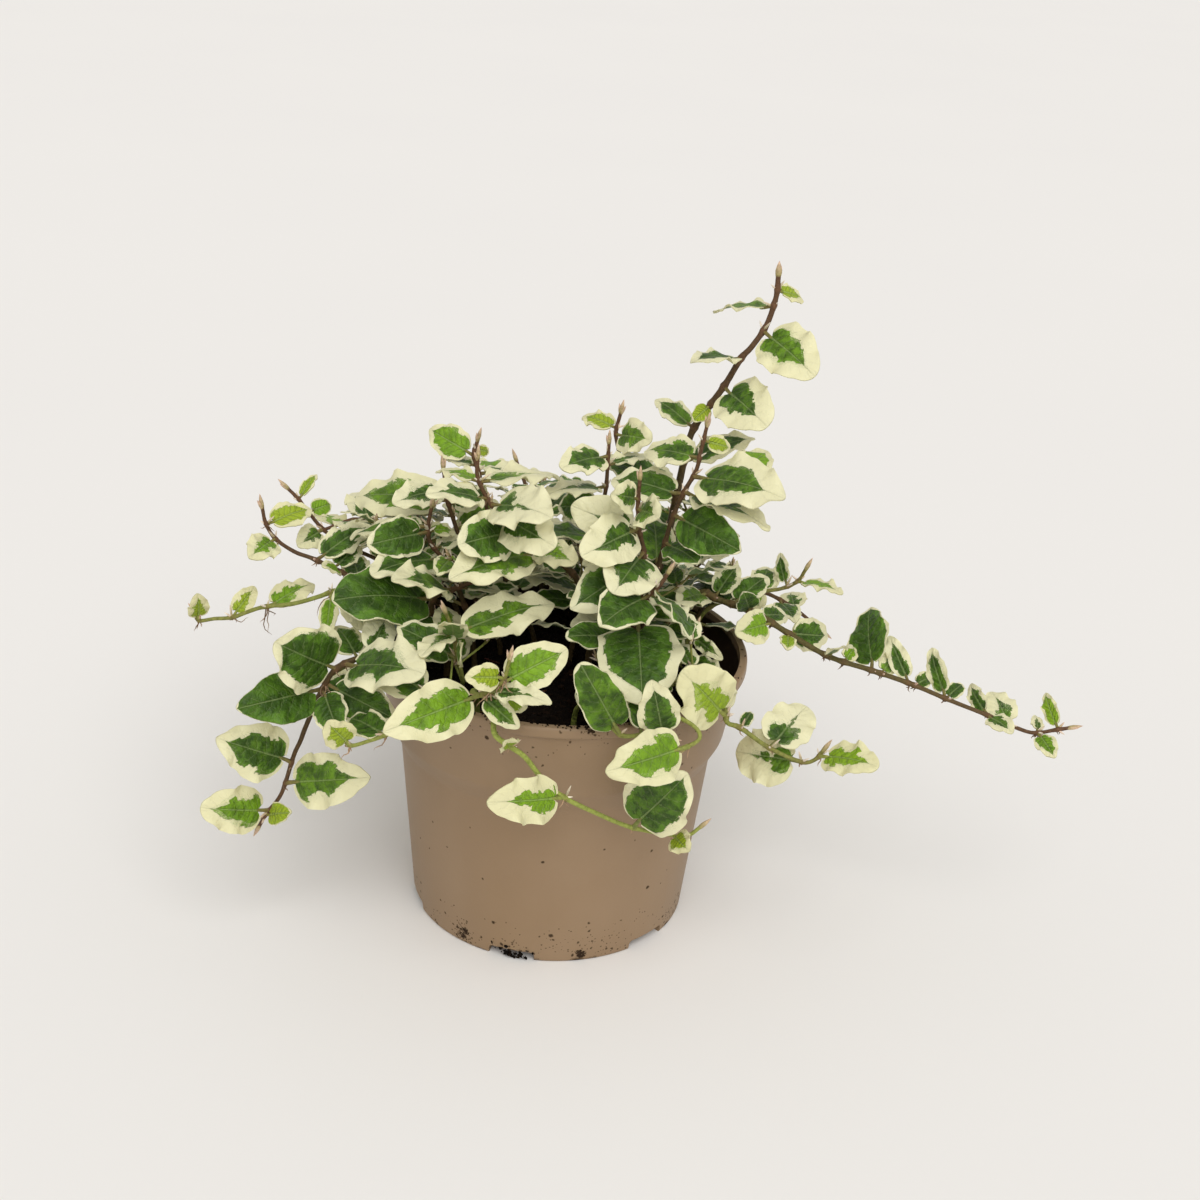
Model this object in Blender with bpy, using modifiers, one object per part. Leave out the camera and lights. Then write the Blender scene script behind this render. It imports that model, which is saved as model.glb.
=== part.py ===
"""A variegated creeping fig in its 12 cm nursery pot.

Everything is in metres with +Z up. The origin is the middle of the pot's underside, which rests on the
surface, and -Y is the side that faces the viewer. Sizes below are in millimetres, angles in degrees.

The pot is a thin moulded cone with a wide collar, a rolled lip and six drain channels under its base. The
potting soil fills it to just under the lip, with a plain hole for each stem. Each leafy stem is one solid:
a wiry stem with its terminal bud, and leaves on short stalks, sunk into it and fused.
"""

import math
import random

import bmesh
import bpy
from mathutils import Matrix, Vector
from mathutils.bvhtree import BVHTree

MM = 0.001
MERGE = 0.00001
SHARP_ANGLE = 30.0

# Pot; a pair is a radius and a height
RIM_RADIUS = 60.0
POT_HEIGHT = 92.0
LIP_WIDTH = 2.9
LIP_DEPTH = 3.7
LIP_ROUND = 1.0
WALL = 1.2
COLLAR_TOP = 58.3
COLLAR_FOOT = (54.6, 66.0)
BODY_TOP = (50.9, 59.0)
BODY_FOOT = 45.4
FLOOR = 1.6
POT_STEPS = 40

# Drain channels under the pot, each with a slot through its roof
CHANNELS = 6
FIRST_CHANNEL = -42.0
CHANNEL_START = 33.0
CHANNEL_WIDTH = 15.0
CHANNEL_HEIGHT = 3.2
CHANNEL_ROOF = 1.4
SLOT = (34.5, 37.0)
SLOT_WIDTH = 7.0
PAST_THE_POT = 5.0

# Soil
SOIL_TOP = 80.0
SOIL_GAP = 0.45
SOIL_STEPS = 28
SOIL_RINGS = (0.0, 0.3, 0.6, 0.88)
SOIL_SHOULDER = 1.0
LUMP_HEIGHT = 1.1
LUMP_PITCH = 27.0

# Stems, and the holes that they stand in
ROOT_DEPTH = 11.0
ABOVE_SOIL = 4.0
TIP_THICKNESS = 0.8
BUD_LENGTH = 5.0
BUD_MIDDLE = 0.4
BUD_SWELL = 1.25
BUD_POINT = 0.35
HOLE_GAP = 0.55
HOLE_BOTTOM = 0.4
HOLE_SIDES = 6
HOLE_LENGTH = 30.0

# Leaves: fold, arch, wave and lobe are shares of the blade's half breadth or length
BLADE = 0.8
STALK_HALF = 0.6
STALK_SHORTEST = 1.0
STALK_SHARE = 0.17
OUTLINE_SKEW = 0.62
OUTLINE_FULLNESS = 0.75
FOLD = 0.16
ARCH = 0.05
LOBE = 0.09
WAVE = 0.045
WAVES_PER_LEAF = 2.3
CLEARANCE = 0.35

# Cross rows of a blade, as shares of its length from the stalk, for blades of at least this length
BLADE_ROWS = ((23, (0.12, 0.42, 0.78)), (12, (0.15, 0.58)), (0, (0.3,)))

# Leaves placed by rule: angle from the stem's heading, and the range of each random draw
SIDE_ANGLE = 80.0
SIDE_SPREAD = 25.0
RISES = (-12.0, 22.0)
ROLLS = (-22.0, 22.0)
SIZES = (0.8, 1.15)
BREADTHS = (0.62, 0.85)
UPRIGHT = 0.85
SEED = 7

# A leaf that would touch its neighbours is turned, raised, rolled and shrunk by the first of these that fits
NUDGE_STEPS = (
    (6, 0, 0, 1.0), (0, 6, 0, 1.0), (11, 5, 6, 1.0), (0, 12, 0, 0.95),
    (18, 8, 12, 0.95), (26, 3, 15, 0.9), (38, 14, 0, 0.85), (55, 10, 20, 0.8),
)

# Each stem: where it stands in the soil, its radius there, the points that it passes, and its leaves. A leaf
# is its share of the stem's length above the soil, the heading and rise of its midrib, the roll of its face
# about the midrib, its blade's length, and its breadth as a share of its length. fill is the stretch, number
# and length of further leaves that stand on the two sides of the stem by rule. The stems nearest to the
# viewer come first, because a leaf makes way for those before it.
STEMS = {
    "front_right_runner": dict(
        root=(18, -34), thick=1.2,
        route=[(26, -44, 95), (33, -54, 97), (41, -60, 96), (43, -62, 93), (39, -63, 90)],
        leaves=[(0.98, -135, 5, -60, 27, 0.6)]),
    "front_left_shoot": dict(
        root=(-24, -35), thick=1.5,
        route=[(-24, -44, 94), (-24, -54, 99), (-21, -63, 103), (-16, -65, 107), (-14, -66, 111),
               (-13, -66, 116)],
        leaves=[(0.68, -140, -5, -55, 27, 0.62), (0.83, 20, 25, 55, 18, 0.75),
                (0.89, -140, 15, -70, 11, 0.75), (0.76, -25, 15, 35, 18, 0.4),
                (0.68, -30, -25, 55, 12, 0.6), (0.72, -10, -40, 45, 14, 0.8)]),
    "front_runner": dict(
        root=(-17, -33), thick=1.4,
        route=[(-16, -46, 94), (-17, -56, 97), (-17, -62, 94), (-16, -65, 91), (-11, -66, 88),
               (-7, -66, 85), (-2, -65, 78), (4, -64, 72), (14, -62, 66), (25, -59, 60), (37, -55, 56),
               (43, -53, 55), (46, -52, 57)],
        leaves=[(0.59, -145, 15, -70, 24, 0.6), (0.8, -30, 55, 100, 24, 0.85),
                (0.92, -65, 5, 45, 9, 0.9), (0.38, -95, 35, -140, 10, 0.65)]),
    "short_right_runner": dict(
        root=(25, -22), thick=1.4,
        route=[(36, -29, 95), (46, -37, 97), (51, -42, 93), (52, -45, 90), (56, -46, 89), (65, -48, 84),
               (75, -48, 80), (79, -48, 81), (81, -48, 84)],
        leaves=[(0.9, 140, -15, -65, 21, 0.85), (0.76, 60, 20, 15, 17, 0.9),
                (0.98, -45, 15, 30, 18, 0.7), (0.54, -140, 45, -95, 25, 0.75),
                (0.53, 110, 10, -10, 18, 0.55), (0.62, 70, 5, 15, 8, 0.5)]),
    "inner_front_stem": dict(
        root=(13, -24), thick=1.5, fill=(0.1, 0.45, 2, 18),
        route=[(18, -26, 96), (21, -28, 107), (24, -29, 118), (26, -29, 123), (29, -29, 126),
               (31, -29, 130)],
        leaves=[(0.66, -85, -25, 5, 27, 0.95), (0.83, -125, -5, -20, 20, 0.85),
                (0.88, -65, -10, -35, 21, 0.5), (0.49, -140, 15, -30, 19, 0.6)]),
    "lower_left_shoot": dict(
        root=(-42, -22), thick=1.5,
        route=[(-47, -27, 97), (-56, -33, 99), (-66, -37, 96), (-71, -37, 88), (-76, -36, 75),
               (-78, -36, 69), (-80, -36, 64), (-83, -36, 53), (-85, -36, 48), (-89, -36, 42),
               (-91, -36, 38)],
        leaves=[(0.38, -130, 35, -95, 23, 0.95), (0.46, -135, 5, -60, 25, 0.65),
                (0.74, -145, 30, -80, 23, 0.8), (0.82, -25, 20, 70, 27, 0.65),
                (0.94, -140, 20, -75, 20, 0.75), (0.96, -20, 35, 75, 11, 0.7),
                (0.35, -35, 15, 30, 27, 0.75), (0.46, -60, -30, 35, 14, 0.8), (0.27, 75, 25, 20, 13, 0.8)]),
    "left_front_runner": dict(
        root=(-32, -30), thick=1.2,
        route=[(-33, -42, 94), (-38, -52, 96), (-43, -60, 91), (-48, -63, 88), (-53, -62, 85),
               (-58, -62, 83), (-60, -62, 84)],
        leaves=[(0.97, -130, 50, -115, 11, 0.9), (0.77, 130, -10, -25, 17, 0.6)]),
    "low_left_sprig": dict(
        root=(-30, -24), thick=1.1,
        route=[(-29, -30, 91), (-31, -34, 103), (-32, -36, 110), (-34, -37, 116)],
        leaves=[(0.72, -90, 50, 0, 13, 0.7), (0.8, 35, 5, 30, 30, 0.5), (0.8, -120, 0, 10, 13, 0.8),
                (0.62, -115, 25, -90, 11, 0.85), (0.5, 175, 25, -35, 17, 0.7)]),
    "front_centre_shoot": dict(
        root=(6, -38), thick=1.3,
        route=[(8, -46, 93), (13, -55, 96), (20, -61, 92), (27, -62, 93), (33, -63, 93)],
        leaves=[(0.71, -150, 60, -100, 24, 0.55), (0.99, -130, 70, -130, 18, 0.7),
                (0.85, 85, 20, 5, 15, 0.6)]),
    "brown_centre_shoot": dict(
        root=(13, -12), thick=1.5, fill=(0.1, 0.55, 3, 20),
        route=[(21, -12, 100), (24, -14, 118), (24, -15, 130), (22, -15, 138), (21, -15, 146),
               (21, -15, 154)],
        leaves=[(0.87, -70, 15, 55, 14, 0.85), (0.92, -125, 20, -75, 12, 0.85),
                (0.68, -110, -10, -25, 20, 0.95), (0.79, -130, -5, -50, 21, 0.75),
                (0.77, -155, 15, -55, 20, 0.8), (0.64, -140, -20, -50, 24, 0.7)]),
    "thick_left_shoot": dict(
        root=(9, -6), thick=1.9, fill=(0.08, 0.5, 3, 18),
        route=[(9, -6, 103), (4, -8, 117), (-1, -10, 123), (-9, -12, 128), (-16, -14, 134),
               (-22, -14, 141), (-26, -14, 147), (-28, -14, 152), (-28, -14, 157)],
        leaves=[(0.92, 140, -5, 0, 15, 0.6), (0.92, 35, -5, 0, 24, 0.6), (0.83, -40, 10, 30, 23, 0.8),
                (0.85, -140, 15, -20, 19, 0.7), (0.77, -50, 0, 50, 22, 0.7),
                (0.7, -130, 5, -55, 19, 0.85), (0.6, -45, 5, 25, 15, 0.75), (0.58, -135, 0, -25, 29, 0.6)]),
    "left_inner_shoot": dict(
        root=(-36, -6), thick=2.0,
        route=[(-36, -8, 90), (-41, -10, 103), (-40, -12, 110), (-34, -14, 114), (-28, -16, 118),
               (-26, -17, 122), (-26, -18, 129)],
        leaves=[(0.63, -120, 25, -25, 27, 0.55), (0.79, 40, 10, 25, 9, 0.8), (0.69, 40, -20, 0, 16, 0.7),
                (0.5, -140, 10, -30, 29, 0.8), (0.4, -120, -15, -20, 14, 0.8)]),
    "second_shoot": dict(
        root=(21, -7), thick=1.5, fill=(0.1, 0.5, 4, 20),
        route=[(25, -8, 103), (28, -8, 119), (30, -8, 130), (32, -8, 140), (35, -8, 149), (38, -8, 156),
               (39, -8, 163), (40, -8, 170)],
        leaves=[(0.89, 140, -10, -30, 18, 0.75), (0.95, 35, -20, 70, 9, 0.65),
                (0.82, -40, 5, 30, 28, 0.75), (0.74, 155, 0, -30, 20, 0.65), (0.75, -35, -5, 0, 26, 0.6),
                (0.66, -45, -5, 55, 23, 0.65), (0.55, -55, 0, 20, 14, 0.8)]),
    "right_soil_sprig": dict(
        root=(40, -8), thick=1.1,
        route=[(41, -8, 92), (41, -8, 99), (42, -8, 103)],
        leaves=[(0.87, -60, 0, 45, 14, 0.35), (0.51, -55, -5, 20, 16, 0.6)]),
    "left_runner": dict(
        root=(-45, -9), thick=1.3, fill=(0.1, 0.4, 2, 14),
        route=[(-43, -9, 93), (-51, -9, 103), (-62, -9, 109), (-70, -9, 109), (-77, -9, 106),
               (-85, -9, 103), (-95, -9, 101), (-104, -9, 97), (-110, -9, 96), (-115, -9, 95),
               (-116, -9, 98)],
        leaves=[(1.0, -95, 75, -175, 10, 0.75), (0.85, 50, 35, 35, 10, 0.7), (0.72, 55, 5, 20, 17, 0.6),
                (0.44, -40, -30, 25, 12, 0.8), (0.49, -70, -35, 20, 13, 0.5)]),
    "curved_left_shoot": dict(
        root=(-28, 0), thick=1.5, fill=(0.1, 0.6, 3, 18),
        route=[(-30, 0, 97), (-35, 0, 111), (-39, 0, 118), (-43, 0, 123), (-44, 0, 128), (-43, 0, 135)],
        leaves=[(0.67, -125, 5, -20, 24, 0.6), (0.85, -140, 0, -55, 18, 0.75),
                (0.89, 170, -15, 0, 22, 0.6), (0.86, 45, -15, 30, 9, 0.7), (0.74, 45, 0, 0, 12, 0.7)]),
    "left_shoot": dict(
        root=(-42, 6), thick=1.3, fill=(0.08, 0.4, 3, 16),
        route=[(-48, 4, 98), (-57, 2, 104), (-65, 0, 108), (-71, 0, 111), (-80, 0, 115), (-86, 0, 117),
               (-92, 0, 121), (-95, 0, 126), (-96, 0, 131)],
        leaves=[(0.93, 45, 5, 25, 14, 0.75), (0.86, -105, 0, -30, 14, 0.75),
                (0.67, 50, 15, 20, 20, 0.55), (0.59, 70, 20, 25, 11, 0.7), (0.55, -135, 25, -35, 8, 0.8),
                (0.46, 110, 10, -25, 12, 0.8)]),
    "short_centre_shoot": dict(
        root=(3, 8), thick=1.3, fill=(0.1, 0.65, 4, 20),
        route=[(8, 8, 111), (10, 8, 133), (11, 8, 143), (11, 8, 151), (11, 8, 157)],
        leaves=[(0.95, -135, 0, -25, 16, 0.75), (0.91, 40, 0, 0, 13, 0.7), (0.81, -150, 0, 0, 18, 0.7),
                (0.72, 150, -15, -70, 14, 0.8)]),
    "tall_shoot": dict(
        root=(26, 12), thick=1.5, fill=(0.1, 0.55, 5, 20),
        route=[(28, 12, 107), (32, 12, 128), (35, 14, 151), (37, 15, 161), (42, 15, 170), (46, 15, 177),
               (50, 16, 185), (53, 16, 189), (57, 17, 196), (59, 17, 205), (59, 17, 211)],
        leaves=[(0.66, -130, -30, -40, 7, 0.8), (0.59, 135, 15, -25, 15, 0.55),
                (0.71, -60, -10, 40, 21, 0.85), (0.79, -140, 5, 0, 17, 0.7),
                (0.87, -55, -15, 40, 22, 0.8), (0.93, 145, -15, 0, 18, 0.7), (0.97, 35, -20, 35, 9, 0.8)]),
    "right_trailing_stem": dict(
        root=(31, 5), thick=1.7, fill=(0.06, 0.2, 2, 16),
        route=[(34, 8, 98), (40, 8, 107), (45, 8, 109), (49, 8, 107), (55, 6, 106), (63, 4, 104),
               (73, 2, 99), (86, 0, 93), (100, -2, 90), (113, -4, 87), (126, -6, 83), (137, -8, 80),
               (147, -10, 77), (153, -11, 76), (159, -12, 78), (163, -12, 79)],
        leaves=[(0.2, -120, 10, -20, 15, 0.7), (0.22, 55, 30, 15, 12, 0.7), (0.26, 125, -5, -10, 20, 0.6),
                (0.26, 45, 20, 15, 14, 0.7), (0.3, -115, 50, -135, 10, 0.8), (0.32, 40, -15, 35, 11, 0.7),
                (0.35, -135, 5, -60, 14, 0.8), (0.39, 30, -15, 70, 15, 0.75),
                (0.39, -95, -10, -10, 7, 0.8), (0.48, -60, 35, 0, 12, 0.6), (0.52, 65, 10, 35, 7, 0.8),
                (0.58, 90, 30, -45, 21, 0.75), (0.6, 65, 10, 35, 9, 0.8), (0.66, 120, 40, -40, 14, 0.5),
                (0.67, 50, 0, 55, 8, 0.7), (0.74, 110, 30, -55, 15, 0.5), (0.74, 50, 10, 20, 8, 0.7),
                (0.83, 105, 15, -55, 12, 0.5), (0.83, -60, 0, 15, 10, 0.8),
                (0.88, 110, 15, -10, 13, 0.8), (0.94, -75, -10, 20, 10, 0.7), (0.94, 85, 10, 10, 7, 0.6),
                (0.98, 100, 25, -50, 12, 0.45)]),
    "right_side_shoot": dict(
        root=(40, 14), thick=1.1, fill=(0.15, 0.75, 4, 14),
        route=[(46, 13, 100), (54, 13, 105), (62, 13, 108), (70, 13, 110), (75, 13, 113), (77, 13, 117)],
        leaves=[(0.84, 100, 30, -50, 11, 0.5), (0.92, -40, 5, 0, 14, 0.6)]),
    "left_middle_shoot": dict(
        root=(-21, 14), thick=1.3, fill=(0.15, 0.5, 2, 18),
        route=[(-28, 14, 95), (-34, 14, 116), (-39, 14, 131), (-40, 14, 136), (-41, 14, 143)],
        leaves=[(0.89, -135, 0, -25, 17, 0.7), (0.83, 155, -10, -35, 30, 0.6),
                (0.81, 40, -5, 60, 10, 0.7), (0.55, 60, 10, 30, 12, 0.7)]),
    "small_left_shoot": dict(
        root=(-36, 18), thick=1.1, fill=(0.1, 0.55, 3, 14),
        route=[(-46, 18, 99), (-61, 18, 108), (-73, 18, 113), (-80, 18, 118), (-85, 18, 124),
               (-88, 18, 128), (-91, 18, 131)],
        leaves=[(0.94, 65, 30, 0, 9, 0.5), (0.87, 55, 0, 50, 8, 0.8), (0.77, -115, -5, -40, 11, 0.8),
                (0.62, 70, 20, 10, 12, 0.7)]),
    "upper_left_shoot": dict(
        root=(-10, 20), thick=1.3, fill=(0.15, 0.8, 4, 18),
        route=[(-20, 20, 104), (-26, 20, 124), (-30, 20, 140), (-32, 20, 146), (-31, 20, 151)],
        leaves=[(0.93, 150, 15, -55, 15, 0.75), (0.96, 50, -20, 75, 5, 0.8), (0.88, 145, -5, 0, 12, 0.7),
                (0.85, 30, -10, 0, 19, 0.6)]),
    "top_centre_shoot": dict(
        root=(13, 24), thick=1.3, fill=(0.1, 0.6, 4, 19),
        route=[(15, 24, 111), (16, 24, 133), (15, 24, 146), (13, 24, 155), (14, 24, 162)],
        leaves=[(0.94, 140, 0, -25, 12, 0.65), (0.91, -50, 5, 60, 14, 0.85), (0.67, 30, 10, 30, 16, 0.7)]),
    "back_left_shoot": dict(
        root=(-34, 22), thick=1.3, fill=(0.2, 0.98, 9, 17),
        route=[(-44, 34, 100), (-58, 42, 110), (-72, 44, 112), (-84, 42, 108)],
        leaves=[]),
    "back_middle_shoot": dict(
        root=(-8, 36), thick=1.3, fill=(0.25, 0.98, 7, 17),
        route=[(-10, 44, 100), (-14, 52, 118), (-20, 56, 132)],
        leaves=[]),
    "back_right_shoot": dict(
        root=(24, 34), thick=1.3, fill=(0.2, 0.98, 8, 17),
        route=[(30, 42, 100), (40, 50, 114), (50, 52, 126), (56, 50, 134)],
        leaves=[]),
    "back_left_runner": dict(
        root=(-24, 40), thick=1.3, fill=(0.25, 0.98, 9, 15),
        route=[(-30, 54, 97), (-36, 64, 92), (-40, 70, 78), (-44, 70, 58), (-46, 66, 40)],
        leaves=[]),
    "back_right_runner": dict(
        root=(12, 44), thick=1.3, fill=(0.25, 0.98, 9, 15),
        route=[(16, 54, 97), (22, 64, 93), (34, 72, 88), (52, 78, 84), (66, 78, 80)],
        leaves=[]),
    "back_right_sprig": dict(
        root=(42, 28), thick=1.2, fill=(0.2, 0.98, 7, 14),
        route=[(50, 34, 98), (62, 40, 98), (76, 42, 92), (88, 40, 84)],
        leaves=[]),
}


def new_collection(name):
    made = bpy.data.collections.new(name)
    bpy.context.scene.collection.children.link(made)
    return made


def material(name, colour, roughness):
    """A plain Principled material."""
    made = bpy.data.materials.new(name)
    made.use_nodes = True
    shader = made.node_tree.nodes["Principled BSDF"]
    shader.inputs["Base Color"].default_value = (*colour, 1.0)
    shader.inputs["Roughness"].default_value = roughness
    made.diffuse_color = (*colour, 1.0)
    return made


def add_part(name, mesh, collection, finish):
    """A named object for this mesh, with its material."""
    obj = bpy.data.objects.new(name, mesh)
    collection.objects.link(obj)
    mesh.materials.clear()
    mesh.materials.append(finish)
    return obj


def add_helper(name, bm, collection):
    """A hidden object from this bmesh, for a Boolean."""
    mesh = bpy.data.meshes.new(name)
    bm.to_mesh(mesh)
    bm.free()
    helper = bpy.data.objects.new(name, mesh)
    helper.hide_render = True
    helper.display_type = "WIRE"
    collection.objects.link(helper)


def boolean(obj, operation, collection):
    cut = obj.modifiers.new(operation.lower(), "BOOLEAN")
    cut.operation = operation
    cut.operand_type = "COLLECTION"
    cut.collection = collection
    cut.solver = "EXACT"


def evaluated_mesh(obj):
    graph = bpy.context.evaluated_depsgraph_get()
    return bpy.data.meshes.new_from_object(obj.evaluated_get(graph))


def settle(obj):
    """Replaces an object's mesh by its evaluated one and clears its modifiers."""
    mesh = evaluated_mesh(obj)
    obj.modifiers.clear()
    obj.data = mesh


def smooth(obj):
    """Shades a round piece smooth, with its edges sharp."""
    obj.data.shade_smooth()
    obj.data.set_sharp_from_angle(angle=math.radians(SHARP_ANGLE))


def turned(name, profile, steps, collection, finish):
    """A shape turned about the Z axis from (radius, height) points, top to bottom outside."""
    mesh = bpy.data.meshes.new(name)
    points = [(radius * MM, 0.0, height * MM) for radius, height in profile]
    mesh.from_pydata(points, [(i, i + 1) for i in range(len(points) - 1)], [])
    obj = add_part(name, mesh, collection, finish)
    screw = obj.modifiers.new("turn", "SCREW")
    screw.axis = "Z"
    screw.steps = screw.render_steps = steps
    screw.use_merge_vertices = True
    screw.merge_threshold = MERGE
    settle(obj)
    return obj


def add_block(name, along, width, heights, heading, collection):
    """A box helper that runs outwards from the axis: its reach, width and heights, turned to its heading."""
    bm = bmesh.new()
    bmesh.ops.create_cube(bm, size=1.0)
    size = (along[1] - along[0], width, heights[1] - heights[0])
    middle = ((along[0] + along[1]) / 2, 0.0, (heights[0] + heights[1]) / 2)
    bmesh.ops.scale(bm, vec=Vector(size) * MM, verts=bm.verts)
    bmesh.ops.translate(bm, vec=Vector(middle) * MM, verts=bm.verts)
    turn = Matrix.Rotation(math.radians(heading), 3, "Z")
    bmesh.ops.rotate(bm, cent=(0.0, 0.0, 0.0), matrix=turn, verts=bm.verts)
    add_helper(name, bm, collection)


def channel_headings():
    return [FIRST_CHANNEL + 360.0 * i / CHANNELS for i in range(CHANNELS)]


def inner_wall():
    """The inside of the pot's wall, from its floor up to the lip, as (radius, height)."""
    step = 0.3
    return [
        (BODY_FOOT - WALL - step, FLOOR),
        (BODY_TOP[0] - WALL, BODY_TOP[1] + step),
        (COLLAR_FOOT[0] - WALL, COLLAR_FOOT[1] + step),
        (RIM_RADIUS - LIP_WIDTH, POT_HEIGHT - LIP_DEPTH),
    ]


def make_pot(collection, finish):
    """The moulded pot: lip, collar, body and base in one wall, with its drain channels."""
    lip_foot = POT_HEIGHT - LIP_DEPTH
    rim_inside = (RIM_RADIUS - LIP_WIDTH + LIP_ROUND / 2, POT_HEIGHT)
    profile = [
        rim_inside,
        (RIM_RADIUS - LIP_ROUND, POT_HEIGHT),
        (RIM_RADIUS, POT_HEIGHT - LIP_ROUND),
        (RIM_RADIUS, lip_foot + LIP_ROUND / 2),
        (COLLAR_TOP, lip_foot),
        COLLAR_FOOT,
        BODY_TOP,
        (BODY_FOOT, LIP_ROUND),
        (BODY_FOOT - LIP_ROUND, 0.0),
        (0.0, 0.0),
        (0.0, FLOOR),
        *inner_wall(),
        rim_inside,
    ]
    pot = turned("pot", profile, POT_STEPS, collection, finish)
    roofs = new_collection("channel_roofs")
    channels = new_collection("channel_cutters")
    roof_reach = (CHANNEL_START - CHANNEL_ROOF, BODY_FOOT - WALL / 2)
    roof_heights = (FLOOR / 2, CHANNEL_HEIGHT + CHANNEL_ROOF)
    reach = (CHANNEL_START, BODY_FOOT + PAST_THE_POT)
    slot_heights = (CHANNEL_HEIGHT / 2, CHANNEL_HEIGHT + 2 * CHANNEL_ROOF)
    for i, heading in enumerate(channel_headings()):
        add_block(f"roof_{i}", roof_reach, CHANNEL_WIDTH + 2 * CHANNEL_ROOF, roof_heights, heading, roofs)
        add_block(f"channel_{i}", reach, CHANNEL_WIDTH, (-PAST_THE_POT, CHANNEL_HEIGHT), heading, channels)
        add_block(f"slot_{i}", SLOT, SLOT_WIDTH, slot_heights, heading, channels)
    boolean(pot, "UNION", roofs)
    boolean(pot, "DIFFERENCE", channels)
    settle(pot)
    smooth(pot)
    return pot


def lump(x, y):
    """The soil's height above its mean level, from two crossing waves, one twice as short."""
    turn = 2 * math.pi / LUMP_PITCH
    wide = math.sin(turn * x + 1.0) * math.cos(turn * y)
    short = math.sin(2 * turn * (x - y / 2)) * math.cos(2 * turn * (y + x / 3))
    return LUMP_HEIGHT * (2 * wide + short) / 3


def add_hole(name, stem, collection):
    """The cutter of the hole that a stem stands in."""
    bm = bmesh.new()
    radius = (stem["thick"] + HOLE_GAP) * MM
    foot = Vector((*stem["root"], SOIL_TOP - ROOT_DEPTH - HOLE_BOTTOM + HOLE_LENGTH / 2))
    bmesh.ops.create_cone(
        bm, cap_ends=True, segments=HOLE_SIDES, radius1=radius, radius2=radius, depth=HOLE_LENGTH * MM)
    bmesh.ops.translate(bm, vec=foot * MM, verts=bm.verts)
    add_helper(f"hole_{name}", bm, collection)


def make_soil(collection, finish):
    """The potting soil: it fills the pot, with a lumpy top and a plain hole for each stem."""
    foot, *sides, lip = [(radius - SOIL_GAP, height) for radius, height in inner_wall()]
    collar = sides[-1]
    top_radius = collar[0] + (lip[0] - collar[0]) * (SOIL_TOP - collar[1]) / (lip[1] - collar[1])
    profile = [(top_radius * share, SOIL_TOP) for share in SOIL_RINGS]
    profile.append((top_radius, SOIL_TOP - SOIL_SHOULDER))
    profile += sides[::-1]
    profile += [(foot[0], FLOOR + SOIL_GAP), (0.0, FLOOR + SOIL_GAP)]
    soil = turned("soil", profile, SOIL_STEPS, collection, finish)
    for vertex in soil.data.vertices:
        x, y, z = vertex.co / MM
        if z > SOIL_TOP - SOIL_SHOULDER / 2:
            vertex.co.z += lump(x, y) * MM
    cutters = new_collection("soil_cutters")
    reach = (CHANNEL_START - CHANNEL_ROOF - SOIL_GAP, BODY_FOOT + PAST_THE_POT)
    width = CHANNEL_WIDTH + 2 * (CHANNEL_ROOF + SOIL_GAP)
    heights = (-PAST_THE_POT, CHANNEL_HEIGHT + CHANNEL_ROOF + SOIL_GAP)
    for i, heading in enumerate(channel_headings()):
        add_block(f"over_roof_{i}", reach, width, heights, heading, cutters)
    for name, stem in STEMS.items():
        add_hole(name, stem, cutters)
    boolean(soil, "DIFFERENCE", cutters)
    settle(soil)
    smooth(soil)
    return soil


def stem_points(stem):
    """The stem's route, from its foot in the soil to the base of its bud."""
    x, y = stem["root"]
    foot = [(x, y, SOIL_TOP - ROOT_DEPTH), (x, y, SOIL_TOP + ABOVE_SOIL)]
    return [Vector(point) for point in foot + stem["route"]]


def along_stem(stem, share):
    """The point at this share of the route above the soil, and the stem's direction there."""
    points = stem_points(stem)[1:]
    legs = list(zip(points, points[1:]))
    left = share * sum((end - start).length for start, end in legs)
    for start, end in legs:
        leg = end - start
        if left <= leg.length:
            break
        left -= leg.length
    return start + leg * min(left / leg.length, 1.0), leg.normalized()


def make_bare_stem(name, stem, collection, finish):
    """The stem without leaves: a tapering tube that swells and closes in a pointed bud."""
    points = stem_points(stem)
    taper = (TIP_THICKNESS - stem["thick"]) / (len(points) - 1)
    radii = [stem["thick"] + taper * i for i in range(len(points))]
    bud = (points[-1] - points[-2]).normalized() * BUD_LENGTH
    points += [points[-1] + bud * BUD_MIDDLE, points[-1] + bud]
    radii += [TIP_THICKNESS * BUD_SWELL, BUD_POINT]
    curve = bpy.data.curves.new(name, "CURVE")
    curve.dimensions = "3D"
    curve.bevel_depth = MM
    curve.bevel_resolution = 0
    curve.use_fill_caps = True
    spline = curve.splines.new("POLY")
    spline.points.add(len(points) - 1)
    for spot, point, radius in zip(spline.points, points, radii):
        spot.co = (*(point * MM), 1.0)
        spot.radius = radius
    guide = bpy.data.objects.new(f"{name}_guide", curve)
    collection.objects.link(guide)
    mesh = evaluated_mesh(guide)
    bm = bmesh.new()
    bm.from_mesh(mesh)
    bmesh.ops.remove_doubles(bm, verts=bm.verts, dist=MERGE)
    bmesh.ops.recalc_face_normals(bm, faces=bm.faces)
    bm.to_mesh(mesh)
    bm.free()
    tube = add_part(name, mesh, collection, finish)
    tube.matrix_world = guide.matrix_world
    bpy.data.objects.remove(guide)
    return tube


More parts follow.
